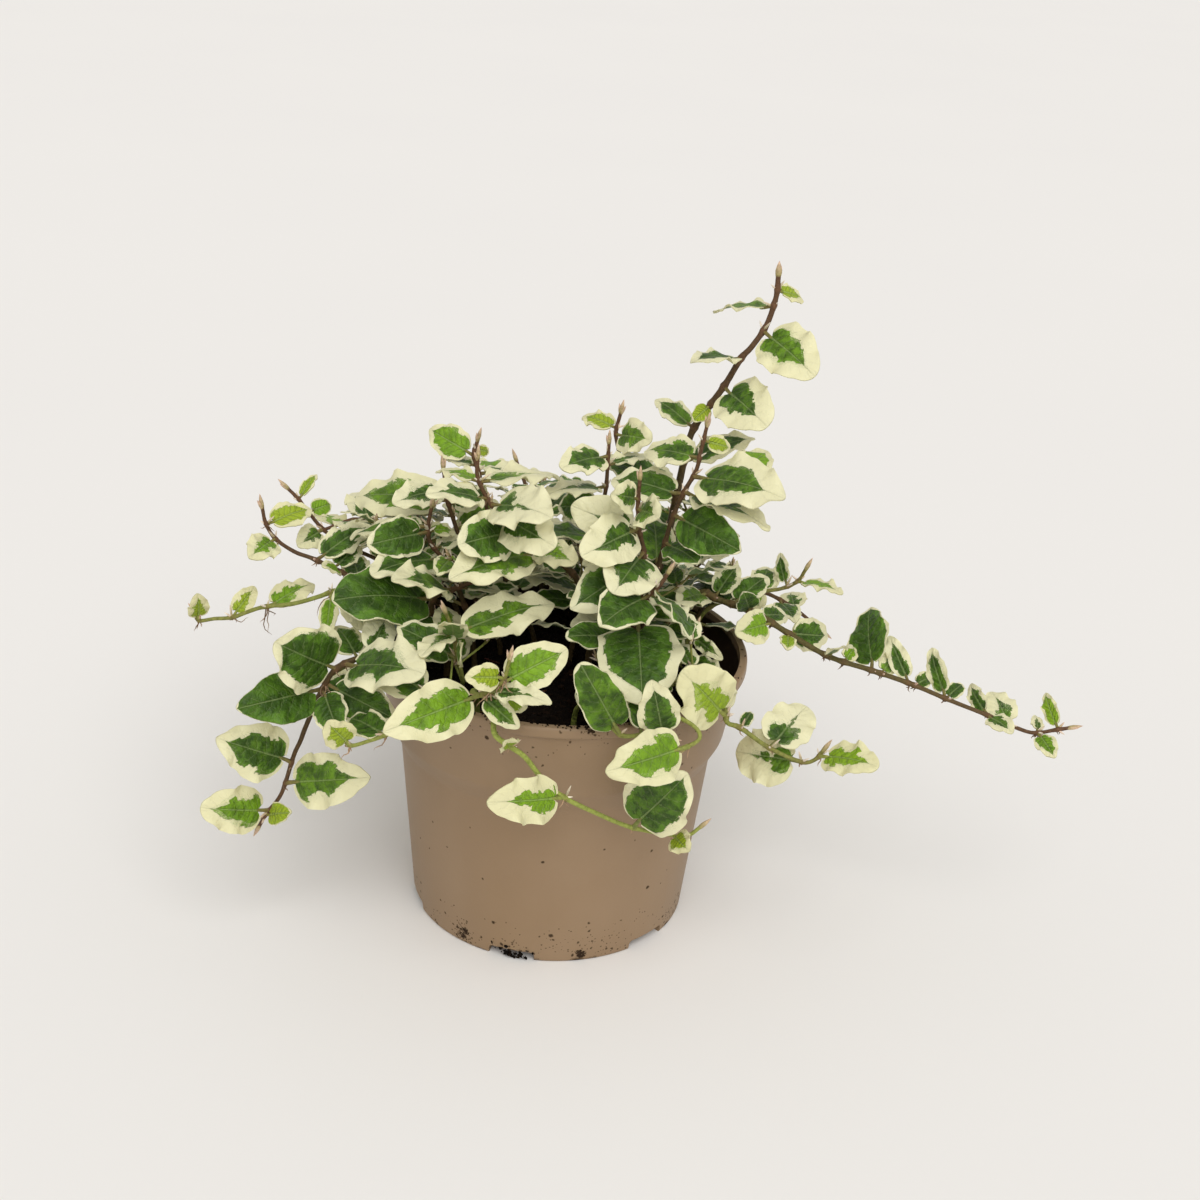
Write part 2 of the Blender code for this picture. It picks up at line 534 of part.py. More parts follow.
def leaf_axes(heading, rise, roll):
    """The leaf's midrib direction, its left side and its upper face's normal."""
    heading, rise, roll = (math.radians(angle) for angle in (heading, rise, roll))
    flat = math.cos(rise)
    ahead = Vector((flat * math.cos(heading), flat * math.sin(heading), math.sin(rise)))
    up = Vector((0.0, 0.0, 1.0))
    up = (up - ahead * up.dot(ahead)).normalized()
    face = up * math.cos(roll) + ahead.cross(up) * math.sin(roll)
    return ahead, face.cross(ahead), face


def leaf_of(stem, row, nudge, phase):
    """A leaf from its row, nudged by (turn, lift, tilt, size); phase shifts the waves of its margin."""
    share, heading, rise, roll, length, breadth = row
    turn, lift, tilt, size = nudge
    axes = leaf_axes(heading + turn, rise + lift, roll + tilt)
    stalk = STALK_SHORTEST + STALK_SHARE * length
    node, _ = along_stem(stem, share)
    leaf = {"axes": axes, "stalk": stalk, "base": node + axes[0] * stalk, "phase": phase}
    leaf.update(length=length * size, half=breadth * length * size / 2)
    return leaf


def outline(share):
    """The ovate outline: the half breadth at this share of the length, as a share of the largest."""
    return math.sin(math.pi * share**OUTLINE_SKEW) ** OUTLINE_FULLNESS if share < 1.0 else 0.0


def stalk_point(leaf, side, ahead):
    """A point of the flat stalk: side is -1, 0 or 1, ahead is its distance from the blade."""
    ahead_axis, left_axis, _ = leaf["axes"]
    return leaf["base"] + ahead_axis * ahead + left_axis * side * STALK_HALF


def blade_point(leaf, side, share):
    """A point of the blade: side runs from -1 to 1 across it, and share from 0 to 1 along it."""
    length, half = leaf["length"], leaf["half"] * outline(share)
    middle = math.sin(math.pi * min(share, 1.0))
    ripple = math.sin(2 * math.pi * (WAVES_PER_LEAF * share + leaf["phase"] + side / 4))
    ahead = length * (share - LOBE * side**2 * (1 - share) ** 3)
    height = FOLD * half * abs(side) + ARCH * length * middle
    height += WAVE * length * side**2 * ripple * math.sqrt(max(middle, 0.0))
    ahead_axis, left_axis, face_axis = leaf["axes"]
    return leaf["base"] + ahead_axis * ahead + left_axis * side * half + face_axis * height


def leaf_mesh(leaf, grow=0.0, with_stalk=True):
    """The leaf as a thin closed sheet. grow thickens and widens it on all sides, to test its clearance."""
    rows = next(rows for shortest, rows in BLADE_ROWS if leaf["length"] >= shortest)
    shares = [-1.0] * with_stalk + [0.0, *rows, 1.0]
    bm = bmesh.new()
    bmesh.ops.create_grid(bm, x_segments=2, y_segments=len(shares) - 1, size=1.0)
    ahead_axis, left_axis, face_axis = leaf["axes"]
    blade_faces = set(bm.faces)
    stalk_middle = []
    for vertex in bm.verts:
        side = round(vertex.co.x)
        share = shares[round((vertex.co.y + 1) / 2 * (len(shares) - 1))]
        if share < 0.0:
            blade_faces.difference_update(vertex.link_faces)
            if side == 0:
                stalk_middle.append(vertex)
        if share > 0.0:
            point = blade_point(leaf, side, share)
        else:
            point = stalk_point(leaf, side, share * leaf["stalk"])
        point += left_axis * side * grow + face_axis * (BLADE / 2 + grow)
        if share == 1.0:
            point += ahead_axis * grow
        vertex.co = point * MM
    bmesh.ops.triangulate(bm, faces=list(blade_faces))
    bmesh.ops.dissolve_verts(bm, verts=stalk_middle)
    bmesh.ops.remove_doubles(bm, verts=bm.verts, dist=MERGE)
    made = bmesh.ops.extrude_face_region(bm, geom=bm.faces[:])
    lower = [item for item in made["geom"] if isinstance(item, bmesh.types.BMVert)]
    bmesh.ops.translate(bm, vec=face_axis * -(BLADE + 2 * grow) * MM, verts=lower)
    bmesh.ops.recalc_face_normals(bm, faces=bm.faces)
    return bm


class Obstacle:
    """What a new leaf must stay clear of: the faces of one shape, their box, and the stem that owns them."""

    def __init__(self, owner, bm):
        self.owner = owner
        self.tree = BVHTree.FromBMesh(bm)
        spots = [vertex.co for vertex in bm.verts]
        self.low = [min(spot[i] for spot in spots) for i in range(3)]
        self.high = [max(spot[i] for spot in spots) for i in range(3)]
        bm.free()

    def meets(self, other):
        apart = any(self.low[i] > other.high[i] or other.low[i] > self.high[i] for i in range(3))
        return not apart and bool(self.tree.overlap(other.tree))


def obstacle_of(owner, obj):
    bm = bmesh.new()
    bm.from_mesh(obj.data)
    return Obstacle(owner, bm)


def nudges():
    """Each way to nudge a leaf, the smallest first, to either side, up or down."""
    found = [(0, 0, 0, 1.0)]
    for turn, lift, tilt, size in NUDGE_STEPS:
        found += [(turn, lift, tilt, size), (-turn, lift, -tilt, size)]
        found += [(turn, -lift, tilt, size), (-turn, -lift, -tilt, size)]
    return found


def is_clear(leaf, owner, obstacles):
    """Whether the leaf keeps its gap to all else; its stalk may meet its own stem."""
    whole = Obstacle(owner, leaf_mesh(leaf, CLEARANCE))
    blade = Obstacle(owner, leaf_mesh(leaf, CLEARANCE, with_stalk=False))
    return not any((blade if other.owner == owner else whole).meets(other) for other in obstacles)


def grow_leaf(owner, row, phase, obstacles, leaves):
    """Adds the leaf with the first nudge that keeps it clear, or leaves it out."""
    for nudge in nudges():
        leaf = leaf_of(STEMS[owner], row, nudge, phase)
        if is_clear(leaf, owner, obstacles):
            obstacles.append(Obstacle(owner, leaf_mesh(leaf)))
            leaves[owner].append(leaf)
            return


def fill_rows(stem, draw):
    """Rows of further leaves, on the two sides of the stem in turn."""
    first, last, count, length = stem["fill"]
    lead = draw.uniform(0.0, 360.0)
    rows = []
    for i in range(count):
        share = first + (last - first) * (i + 0.5) / count
        _, ahead = along_stem(stem, share)
        if ahead.z < UPRIGHT:
            lead = math.degrees(math.atan2(ahead.y, ahead.x))
        side = SIDE_ANGLE if i % 2 else -SIDE_ANGLE
        heading = lead + side + draw.uniform(-SIDE_SPREAD, SIDE_SPREAD)
        size = length * draw.uniform(*SIZES)
        rise, roll, breadth = draw.uniform(*RISES), draw.uniform(*ROLLS), draw.uniform(*BREADTHS)
        rows.append((share, heading, rise, roll, size, breadth))
    return rows


def grow_leaves(obstacles):
    """The leaves of each stem: first those in its own list, then those placed by rule."""
    draw = random.Random(SEED)
    leaves = {name: [] for name in STEMS}
    for name, stem in STEMS.items():
        for row in stem["leaves"]:
            grow_leaf(name, row, draw.random(), obstacles, leaves)
    for name, stem in STEMS.items():
        if "fill" in stem:
            for row in fill_rows(stem, draw):
                grow_leaf(name, row, draw.random(), obstacles, leaves)
    return leaves


def fuse(tube, leaves):
    """Joins the leaves to their stem in one solid."""
    joining = new_collection(f"{tube.name}_joining")
    for i, leaf in enumerate(leaves):
        add_helper(f"{tube.name}_leaf_{i}", leaf_mesh(leaf), joining)
    boolean(tube, "UNION", joining)
    settle(tube)
    for obj in list(joining.objects):
        bpy.data.objects.remove(obj)
    bpy.data.collections.remove(joining)


def build():
    for obj in list(bpy.data.objects):
        bpy.data.objects.remove(obj)
    plant = new_collection("creeping_fig")
    pot = make_pot(plant, material("taupe_plastic", (0.33, 0.22, 0.15), 0.5))
    soil = make_soil(plant, material("potting_soil", (0.02, 0.013, 0.008), 0.95))
    tubes = {}
    for name, stem in STEMS.items():
        tubes[name] = make_bare_stem(name, stem, plant, material(f"{name}_foliage", (0.32, 0.42, 0.14), 0.5))
    obstacles = [obstacle_of("pot", pot), obstacle_of("soil", soil)]
    obstacles += [obstacle_of(name, tube) for name, tube in tubes.items()]
    leaves = grow_leaves(obstacles)
    for name, tube in tubes.items():
        fuse(tube, leaves[name])
    return leaves


grown = build()
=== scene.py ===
"""The visual model of a variegated creeping fig in its 12 cm nursery pot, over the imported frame.

Sections follow the plant as it is put together: pot, potting soil, stems and their leaves, and last the set.
Sizes are in millimetres and angles in degrees, and MM turns them into the frame's metres. What a material reads is
in metres, as the shader measures it, and a pattern's scale is its repeats to the metre.
"""

import math
import random

import bmesh
import bpy
from mathutils import Matrix, Vector, noise
from mathutils.bvhtree import BVHTree


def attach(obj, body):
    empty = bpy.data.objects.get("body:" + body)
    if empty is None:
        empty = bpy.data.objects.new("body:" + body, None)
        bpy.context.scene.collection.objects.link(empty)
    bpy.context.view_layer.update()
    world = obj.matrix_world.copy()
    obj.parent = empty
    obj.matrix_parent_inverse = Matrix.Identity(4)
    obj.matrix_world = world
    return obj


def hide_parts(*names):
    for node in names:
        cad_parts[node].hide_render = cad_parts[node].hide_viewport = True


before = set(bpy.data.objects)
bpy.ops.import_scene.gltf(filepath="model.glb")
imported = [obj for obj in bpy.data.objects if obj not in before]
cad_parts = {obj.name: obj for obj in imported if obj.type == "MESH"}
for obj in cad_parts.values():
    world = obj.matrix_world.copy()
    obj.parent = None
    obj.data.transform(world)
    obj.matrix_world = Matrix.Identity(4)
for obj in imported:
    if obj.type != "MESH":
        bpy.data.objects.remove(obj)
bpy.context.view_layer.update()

# Pot
# A nursery pot of taupe polypropylene, injection moulded in one thin wall: a rolled lip, a stepped collar for
# stacking, and a base with six drain channels, each with a slot through its roof. Soil has splashed its foot.
MM = 0.001
MERGE = 0.01 * MM
SHARP_FROM = 42
POT_STEPS = 160
POT_OUTSIDE = [(57.6, 92), (60, 92), (60, 88.4), (58.3, 88.3), (54.6, 66), (50.9, 59), (45.3, 0), (0, 0)]
POT_INSIDE = [(0, 1.6), (43.9, 1.6), (49.7, 59.3), (53.4, 66.3), (57.1, 88.3), (57.6, 92)]
WALL_MIDDLE = 0.6
CORNER_REACH = 0.9
CHANNEL_HEADINGS = [-42 + 60 * i for i in range(6)]
CHANNEL_ROUND = 1.2
CHANNEL_ROOF = ((31.6, 44.4), 17.8, (0.8, 4.6))
CHANNEL = ((33, 52), 15, (-5, 3.2))
SLOT = ((34.5, 37), 7, (1.6, 6))
TAUPE = (0.262, 0.168, 0.088, 1)
TAUPE_WORN = (0.305, 0.205, 0.120, 1)
# Near-black soil of the splashes, also used as painted shade on the inner wall.
SPLASH_AND_SHADE = (0.014, 0.007, 0.004, 1)
CAKED = [
    ((-0.0095, -0.0450, 0.0012), 0.0085), ((-0.0260, -0.0375, 0.0040), 0.0065),
    ((0.0130, -0.0435, 0.0030), 0.0050), ((0.0120, -0.0575, 0.0930), 0.0065),
]
SPLASH_TOP = 0.018
DUST_FROM = (0.075, 0.09)
# Heights over which the inner wall turns to soil stain and painted shade.
STAIN_AND_SHADE_TOP = (0.0915, 0.0875)
SWIRL = (0.0012, 0.0012, 0.0012)
PLASTIC_GRAIN = 0.00006
# Each kind of spot: its repeats to the metre, its size in its cell, how rare it is and how dark.
SPLASHES = [(270, 0.24, 0.985, 0.9), (640, 0.36, 0.985, 0.8), (1300, 0.44, 1.0, 0.7), (115, 0.09, 0.95, 0.9)]


class Value:
    """What a shader node gives at one output; it is added, subtracted and multiplied as a number is."""

    def __init__(self, made, output=0):
        self.socket, self.tree = made.outputs[output], made.id_data

    def __add__(self, other):
        return sums("ADD", self, other)

    def __sub__(self, other):
        return sums("SUBTRACT", self, other)

    def __rsub__(self, other):
        return sums("SUBTRACT", other, self)

    def __mul__(self, other):
        return sums("MULTIPLY", self, other)

    def __rtruediv__(self, other):
        return sums("DIVIDE", other, self)

    def __pow__(self, other):
        return sums("POWER", self, other)

    def __gt__(self, other):
        return sums("GREATER_THAN", self, other)

    def __abs__(self):
        return sums("ABSOLUTE", self)


def feed(made, **inputs):
    """Set a node's inputs to numbers, colours or a Value; i0 is input 0, and _ stands for a space."""
    for key, value in inputs.items():
        socket = made.inputs[int(key[1:]) if key[0] == "i" and key[1:].isdigit() else key.replace("_", " ")]
        if isinstance(value, Value):
            made.id_data.links.new(value.socket, socket)
        else:
            socket.default_value = value
    return made


def node(tree, kind, settings=None, **inputs):
    """A new shader node of this kind."""
    made = tree.nodes.new(f"ShaderNode{kind}")
    for key, value in (settings or {}).items():
        setattr(made, key, value)
    return feed(made, **inputs)


def sums(operation, *values):
    """The result of a Math node on one to three numbers or Values."""
    tree = next(value.tree for value in values if isinstance(value, Value))
    inputs = {f"i{i}": value for i, value in enumerate(values)}
    return Value(node(tree, "Math", {"operation": operation}, **inputs))


def vectors(operation, output, first, **inputs):
    """The result of a Vector Math node."""
    return Value(node(first.tree, "VectorMath", {"operation": operation}, i0=first, **inputs), output)


def larger(first, second):
    return sums("MAXIMUM", first, second)


def blend(share, first, second):
    """The colour from first to second by this share."""
    return Value(node(share.tree, "Mix", {"data_type": "RGBA"}, i0=share, i6=first, i7=second), 2)


def scaled(colour, factor):
    return vectors("SCALE", 0, colour, Scale=factor)


def ranged(value, low, high, start=0, end=1, way="LINEAR"):
    """low where the value is start, high where it is end, and between them on the way."""
    inputs = {"From_Min": start, "From_Max": end, "To_Min": low, "To_Max": high}
    return Value(node(value.tree, "MapRange", {"interpolation_type": way}, Value=value, **inputs))


def step_up(value, low, high):
    """0 where the value is under low, 1 where it is over high, smooth between them."""
    return ranged(value, 0, 1, low, high, "SMOOTHSTEP")


def parts(vector):
    """The three numbers of a vector."""
    made = node(vector.tree, "SeparateXYZ", Vector=vector)
    return [Value(made, i) for i in range(3)]


def clouds(place, scale, detail, **inputs):
    """Noise from 0 to 1."""
    return Value(node(place.tree, "TexNoise", Vector=place, Scale=scale, Detail=detail, **inputs))


def cells(place, scale, **settings):
    """Cells of random outline: how far each point is from the middle of its cell, and the cell's own chance."""
    made = node(place.tree, "TexVoronoi", settings, Vector=place, Scale=scale)
    return Value(made, "Distance"), Value(node(place.tree, "SeparateColor", Color=Value(made, "Color")))


def marked(tree, name, output):
    """What the mesh says at each vertex under this name."""
    return Value(node(tree, "Attribute", {"attribute_name": name}), output)


def new_material(name):
    """An empty material, its tree, the Principled shader at its end and the place of each point."""
    made = bpy.data.materials.new(name)
    made.use_nodes = True
    tree = made.node_tree
    return made, tree, tree.nodes["Principled BSDF"], Value(node(tree, "TexCoord"), "Object")


def give_relief(shader, height, depth):
    """Bump on the shader, this many metres deep."""
    feed(shader, Normal=Value(node(height.tree, "Bump", Height=height, Distance=depth)))


def mesh_of(name, bm):
    """The bmesh, which is used up, as a mesh."""
    mesh = bpy.data.meshes.new(name)
    bm.to_mesh(mesh)
    bm.free()
    return mesh


def added(name, data):
    """A new object in the scene."""
    made = bpy.data.objects.new(name, data)
    bpy.context.scene.collection.objects.link(made)
    return made


def add_piece(name, bm, materials, *replaced):
    """The finished mesh as a piece of the object, smooth up to its sharp edges, in place of these nodes."""
    mesh = mesh_of(name, bm)
    for each in materials:
        mesh.materials.append(each)
    mesh.shade_smooth()
    mesh.set_sharp_from_angle(angle=math.radians(SHARP_FROM))
    piece = added(name, mesh)
    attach(piece, "root")
    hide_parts(*replaced)
    return piece


def rounded(profile, reach):
    """The profile with each inner corner turned into a small arc."""
    made = [Vector(profile[0])]
    for before, corner, after in zip(profile, profile[1:], profile[2:]):
        corner = Vector(corner)
        legs = Vector(before) - corner, Vector(after) - corner
        ends = [corner + leg.normalized() * min(reach, leg.length * 0.45) for leg in legs]
        for share in (0, 0.25, 0.5, 0.75, 1):
            made.append(ends[0].lerp(corner, share).lerp(corner.lerp(ends[1], share), share))
    return made + [Vector(profile[-1])]


def spun(profile, steps):
    """A bmesh of the (radius, height) profile turned once about the Z axis, closed at its poles."""
    bm = bmesh.new()
    ring = [bm.verts.new((radius * MM, 0, height * MM)) for radius, height in profile]
    edges = [bm.edges.new(pair) for pair in zip(ring, ring[1:])]
    bmesh.ops.spin(
        bm, geom=ring + edges, cent=(0, 0, 0), axis=(0, 0, 1), angle=math.tau, steps=steps, use_merge=True)
    bmesh.ops.remove_doubles(bm, verts=bm.verts, dist=MERGE)
    bmesh.ops.recalc_face_normals(bm, faces=bm.faces)
    return bm


def blocks(along, width, heights, corner=0):
    """A box for each drain channel, that runs outwards from the axis, its long upper edges rounded."""
    size = Vector((along[1] - along[0], width, heights[1] - heights[0])) * MM
    middle = Vector((sum(along) / 2, 0, sum(heights) / 2)) * MM
    made = []
    for heading in CHANNEL_HEADINGS:
        bm = bmesh.new()
        bmesh.ops.create_cube(bm, size=1)
        bmesh.ops.transform(bm, matrix=Matrix.LocRotScale(middle, None, size), verts=bm.verts)
        if corner:
            upper = [e for e in bm.edges if all(v.co.z > middle.z for v in e.verts)]
            upper = [e for e in upper if abs(e.verts[0].co.y - e.verts[1].co.y) < MERGE]
            bmesh.ops.bevel(
                bm, geom=upper, offset=corner * MM, segments=3, profile=0.5, affect="EDGES", material=-1)
        bmesh.ops.rotate(bm, matrix=Matrix.Rotation(math.radians(heading), 3, "Z"), verts=bm.verts)
        made.append(bm)
    return made


def combined(bm, operation, others):
    """The bmesh joined with, or cut by, the others."""
    first, *rest = [bpy.data.objects.new("shape", mesh_of("shape", each)) for each in (bm, *others)]
    group = bpy.data.collections.new("shapes")
    for obj in rest:
        group.objects.link(obj)
    bpy.context.scene.collection.objects.link(first)
    cut = first.modifiers.new("cut", "BOOLEAN")
    cut.operation, cut.operand_type, cut.collection, cut.solver = operation, "COLLECTION", group, "EXACT"
    result = bmesh.new()
    result.from_object(first, bpy.context.evaluated_depsgraph_get())
    for obj in (first, *rest):
        bpy.data.objects.remove(obj)
    bpy.data.collections.remove(group)
    return result


def pot_plastic():
    """Satin taupe plastic with a faint flow pattern, soil splashes at its foot, and stain and painted shade
    inside.
    """
    made, tree, shader, place = new_material("taupe_plastic")
    height = parts(place)[2]
    cloudy = clouds(place, 22, 5)
    flow = clouds(Value(node(tree, "Mapping", Vector=place, Scale=(1, 1, 0.12))), 90, 3)
    worn = step_up(cloudy, 0.35, 0.75) + flow * 0.35
    taupe = blend(worn * 0.6, TAUPE, TAUPE_WORN)

    ragged = clouds(place, 120, 6) - 0.5
    clumps = step_up(clouds(place, 60, 2), 0.42, 0.66)
    low = step_up(height, SPLASH_TOP, 0.0) * (clumps * 0.40 + 0.04)
    for middle, reach in CAKED:
        away = vectors("DISTANCE", "Value", place, i1=middle) + ragged * 0.004
        low = larger(low, step_up(away, reach, 0.001) * 0.95)
    dusty = low + step_up(height, *DUST_FROM) * 0.06
    dirt_and_shade = step_up(low * 0.6 + clouds(place, 420, 6, Roughness=0.75), 1.0, 1.04)
    swirl = Value(node(tree, "TexNoise", Vector=place, Scale=500, Detail=2), "Color")
    warped = vectors("MULTIPLY_ADD", 0, swirl, i1=SWIRL, i2=place)
    for scale, size, rare, dark in SPLASHES:
        away, chance = cells(warped, scale)
        chosen = chance + dusty * 0.9 > rare
        dirt_and_shade = larger(dirt_and_shade, chosen * (step_up(away, size, size * 0.5) * dark))
    # The inner wall goes near black a few millimetres under the lip: soil stain, and painted shade of the pot's
    # deep inside.
    stain_and_shade = step_up(step_up(height, *STAIN_AND_SHADE_TOP) + ragged, 0.15, 0.6)
    # The lowest millimetres of the wall are darkened along a ragged line.
    foot = step_up(ragged - height * 90, -0.08, 0.12)
    dirt_and_shade = larger(larger(dirt_and_shade, marked(tree, "inside", "Fac") * stain_and_shade), foot)

    feed(shader, Base_Color=blend(dirt_and_shade * 0.93, taupe, SPLASH_AND_SHADE), Roughness=dirt_and_shade * 0.4 + ranged(cloudy, 0.42, 0.6))
    feed(shader, Specular_IOR_Level=dirt_and_shade * -0.4 + 0.5)
    give_relief(shader, clouds(place, 1400, 2) + flow * 2, PLASTIC_GRAIN)
    return made


def on_inner_wall(x, y, z):
    """Whether this point of the pot, in millimetres, is on the inner side of its wall."""
    for (low_radius, low), (high_radius, high) in zip(POT_INSIDE[1:], POT_INSIDE[2:]):
        if low < z <= high:
            inner = low_radius + (high_radius - low_radius) * (z - low) / (high - low)
            return math.hypot(x, y) < inner + WALL_MIDDLE
    return False


pot_shape = spun(rounded(POT_OUTSIDE, CORNER_REACH) + rounded(POT_INSIDE, CORNER_REACH), POT_STEPS)
pot_shape = combined(pot_shape, "UNION", blocks(*CHANNEL_ROOF))
pot_shape = combined(pot_shape, "DIFFERENCE", blocks(*CHANNEL, CHANNEL_ROUND) + blocks(*SLOT))
inside = pot_shape.verts.layers.float.new("inside")
for vertex in pot_shape.verts:
    vertex[inside] = float(on_inner_wall(*(vertex.co / MM)))
pot = add_piece("nursery_pot", pot_shape, [pot_plastic()], "pot")

# Potting soil
# Peat and composted bark, almost black when wet, filled to 12 mm below the lip. Its top is lumpy, with loose
# crumbs and a few brown fibres on it, and some of the crumbs lie on the pot's lip and against its foot.
SOIL_TOP = 80
SOIL_RINGS = 34
SOIL_STEPS = 120
SOIL_SIDE = [(55.25, 79), (52.95, 66.3), (49.25, 59.3), (43.45, 2.05), (0, 2.05)]
SOIL_HOLLOW = ((31.1, 52), 18.7, (-5, 5.05))
LUMP_HEIGHT = 1.1
LUMP_PITCH = 27
ROUGH_HEIGHT = 0.9
ROUGH_PITCH = 3.2
CRUMBS = (620, 54.5)
CRUMB_SIZES = (0.45, 1.5)
FIBRES = (46, 50)
FIBRE_LENGTHS = (2, 7)
FIBRE_WIDTHS = (0.25, 0.6)
FIBRE_LIFT = 0.7
LIP_CRUMBS = 70
LIP_RADII = (57.8, 59.4)
LIP_SIZES = (0.2, 0.6)
LIP_HEADING = -80
LIP_SPREADS = (11, 50)
FOOT_CRUMBS = 46
FOOT_SIZES = (0.25, 0.8)
FOOT_HEADING = (-101, 3.5)
FOOT_LIFTS = (0.5, 1.6)
FOOT_SLOPE = 0.095
PEAT_RELIEF = 0.0007
PEAT = (0.007, 0.0045, 0.003)
BARK_CRUMB = (0.026, 0.013, 0.007)
FIBRE = (0.11, 0.06, 0.03)


def lump(x, y):
    """The soil's height above its mean level, from two crossing waves, one twice as short."""
    turn = math.tau / LUMP_PITCH
    wide = math.sin(turn * x + 1) * math.cos(turn * y)
    short = math.sin(2 * turn * (x - y / 2)) * math.cos(2 * turn * (y + x / 3))
    return LUMP_HEIGHT * (2 * wide + short) / 3


def paint(verts, layer, colour):
    for vertex in verts:
        vertex[layer] = (*colour, 1)


def add_crumb(place, size, colour):
    """A small broken lump with twenty faces, pulled out of round."""
    turned = Matrix.Rotation(draw.uniform(0, math.tau), 4, Vector((draw.random(), draw.random(), 1)))
    squash = Matrix.Diagonal((draw.uniform(0.6, 1.3), draw.uniform(0.6, 1.2), draw.uniform(0.4, 0.9), 1))
    shape = Matrix.Translation(place * MM) @ turned @ squash
    made = bmesh.ops.create_icosphere(soil_shape, subdivisions=1, radius=size * MM, matrix=shape)["verts"]
    for vertex in made:
        vertex.co += Vector([draw.uniform(-0.25, 0.25) * size * MM for _ in range(3)])
    paint(made, soil_tint, colour)


def add_fibre(place, length, heading):
    """A thin sliver of bark that lies on the soil."""
    turned = Matrix.Rotation(heading, 4, "Z") @ Matrix.Rotation(draw.uniform(-0.2, 0.2), 4, "Y")
    size = Matrix.Diagonal((length * MM, draw.uniform(*FIBRE_WIDTHS) * MM, FIBRE_WIDTHS[0] * MM, 1))
    made = bmesh.ops.create_cube(soil_shape, size=1, matrix=Matrix.Translation(place * MM) @ turned @ size)
    paint(made["verts"], soil_tint, [c * draw.uniform(0.6, 1.3) for c in FIBRE])


def around(reach, heading, height):
    """The point at this distance from the pot's axis, heading in radians, and height."""
    return Vector((reach * math.cos(heading), reach * math.sin(heading), height))


def on_soil(widest):
    """A random place on top of the soil, up to this far from the pot's axis."""
    reach, heading = widest * math.sqrt(draw.random()), draw.uniform(0, math.tau)
    x, y = reach * math.cos(heading), reach * math.sin(heading)
    return x, y, SOIL_TOP + lump(x, y)


def soil_body():
    """The soil's mass with its lumpy top, clear of the drain channels."""
    rings = [(SOIL_SIDE[0][0] * i / SOIL_RINGS, SOIL_TOP) for i in range(SOIL_RINGS)]
    bm = spun(rings + SOIL_SIDE, SOIL_STEPS)
    for vertex in bm.verts:
        x, y, z = vertex.co / MM
        if z > SOIL_TOP - 0.5:
            rough = noise.fractal(Vector((x, y, 0)) / ROUGH_PITCH, 0.6, 2.1, 4)
            vertex.co.z += (lump(x, y) + ROUGH_HEIGHT * rough) * MM
    return combined(bm, "DIFFERENCE", blocks(*SOIL_HOLLOW))


def potting_soil():
    """Damp peat: dark crumbs with browner bits, matt and rough."""
    made, tree, shader, place = new_material("potting_soil")
    mottled = clouds(place, 420, 6, Roughness=0.7)
    away, chance = cells(place, 760)
    brown = (chance > 0.8) * step_up(mottled, 0.4, 0.6)
    colour = blend(brown * 0.6, marked(tree, "tint", "Color"), (*BARK_CRUMB, 1))
    feed(shader, Base_Color=scaled(colour, ranged(mottled, 0.3, 1.8)), Roughness=0.95, Specular_IOR_Level=0.08)
    give_relief(shader, mottled + away, PEAT_RELIEF)
    return made


soil_shape = soil_body()
soil_tint = soil_shape.verts.layers.float_color.new("tint")
paint(soil_shape.verts, soil_tint, PEAT)
draw = random.Random(3)
count, widest = CRUMBS
for _ in range(count):
    x, y, top = on_soil(widest)
    size = CRUMB_SIZES[0] + CRUMB_SIZES[1] * draw.random() ** 3
    colour = Vector(PEAT).lerp(Vector(BARK_CRUMB), draw.random() ** 2)
    add_crumb(Vector((x, y, top + 0.3 * size)), size, colour)
count, widest = FIBRES
for _ in range(count):
    x, y, top = on_soil(widest)
    add_fibre(Vector((x, y, top + FIBRE_LIFT)), draw.uniform(*FIBRE_LENGTHS), draw.uniform(0, math.tau))
for _ in range(LIP_CRUMBS):
    heading = math.radians(draw.gauss(LIP_HEADING, draw.choice(LIP_SPREADS)))
    size = draw.uniform(*LIP_SIZES)
    add_crumb(around(draw.uniform(*LIP_RADII), heading, POT_OUTSIDE[0][1] + 0.3 * size), size, PEAT)
for _ in range(FOOT_CRUMBS):
    heading, size = math.radians(draw.gauss(*FOOT_HEADING)), draw.uniform(*FOOT_SIZES)
    lift = FOOT_LIFTS[0] + abs(draw.gauss(0, FOOT_LIFTS[1]))
    add_crumb(around(POT_OUTSIDE[6][0] + FOOT_SLOPE * lift, heading, lift), size, PEAT)
soil = add_piece("potting_soil", soil_shape, [potting_soil()], "soil")

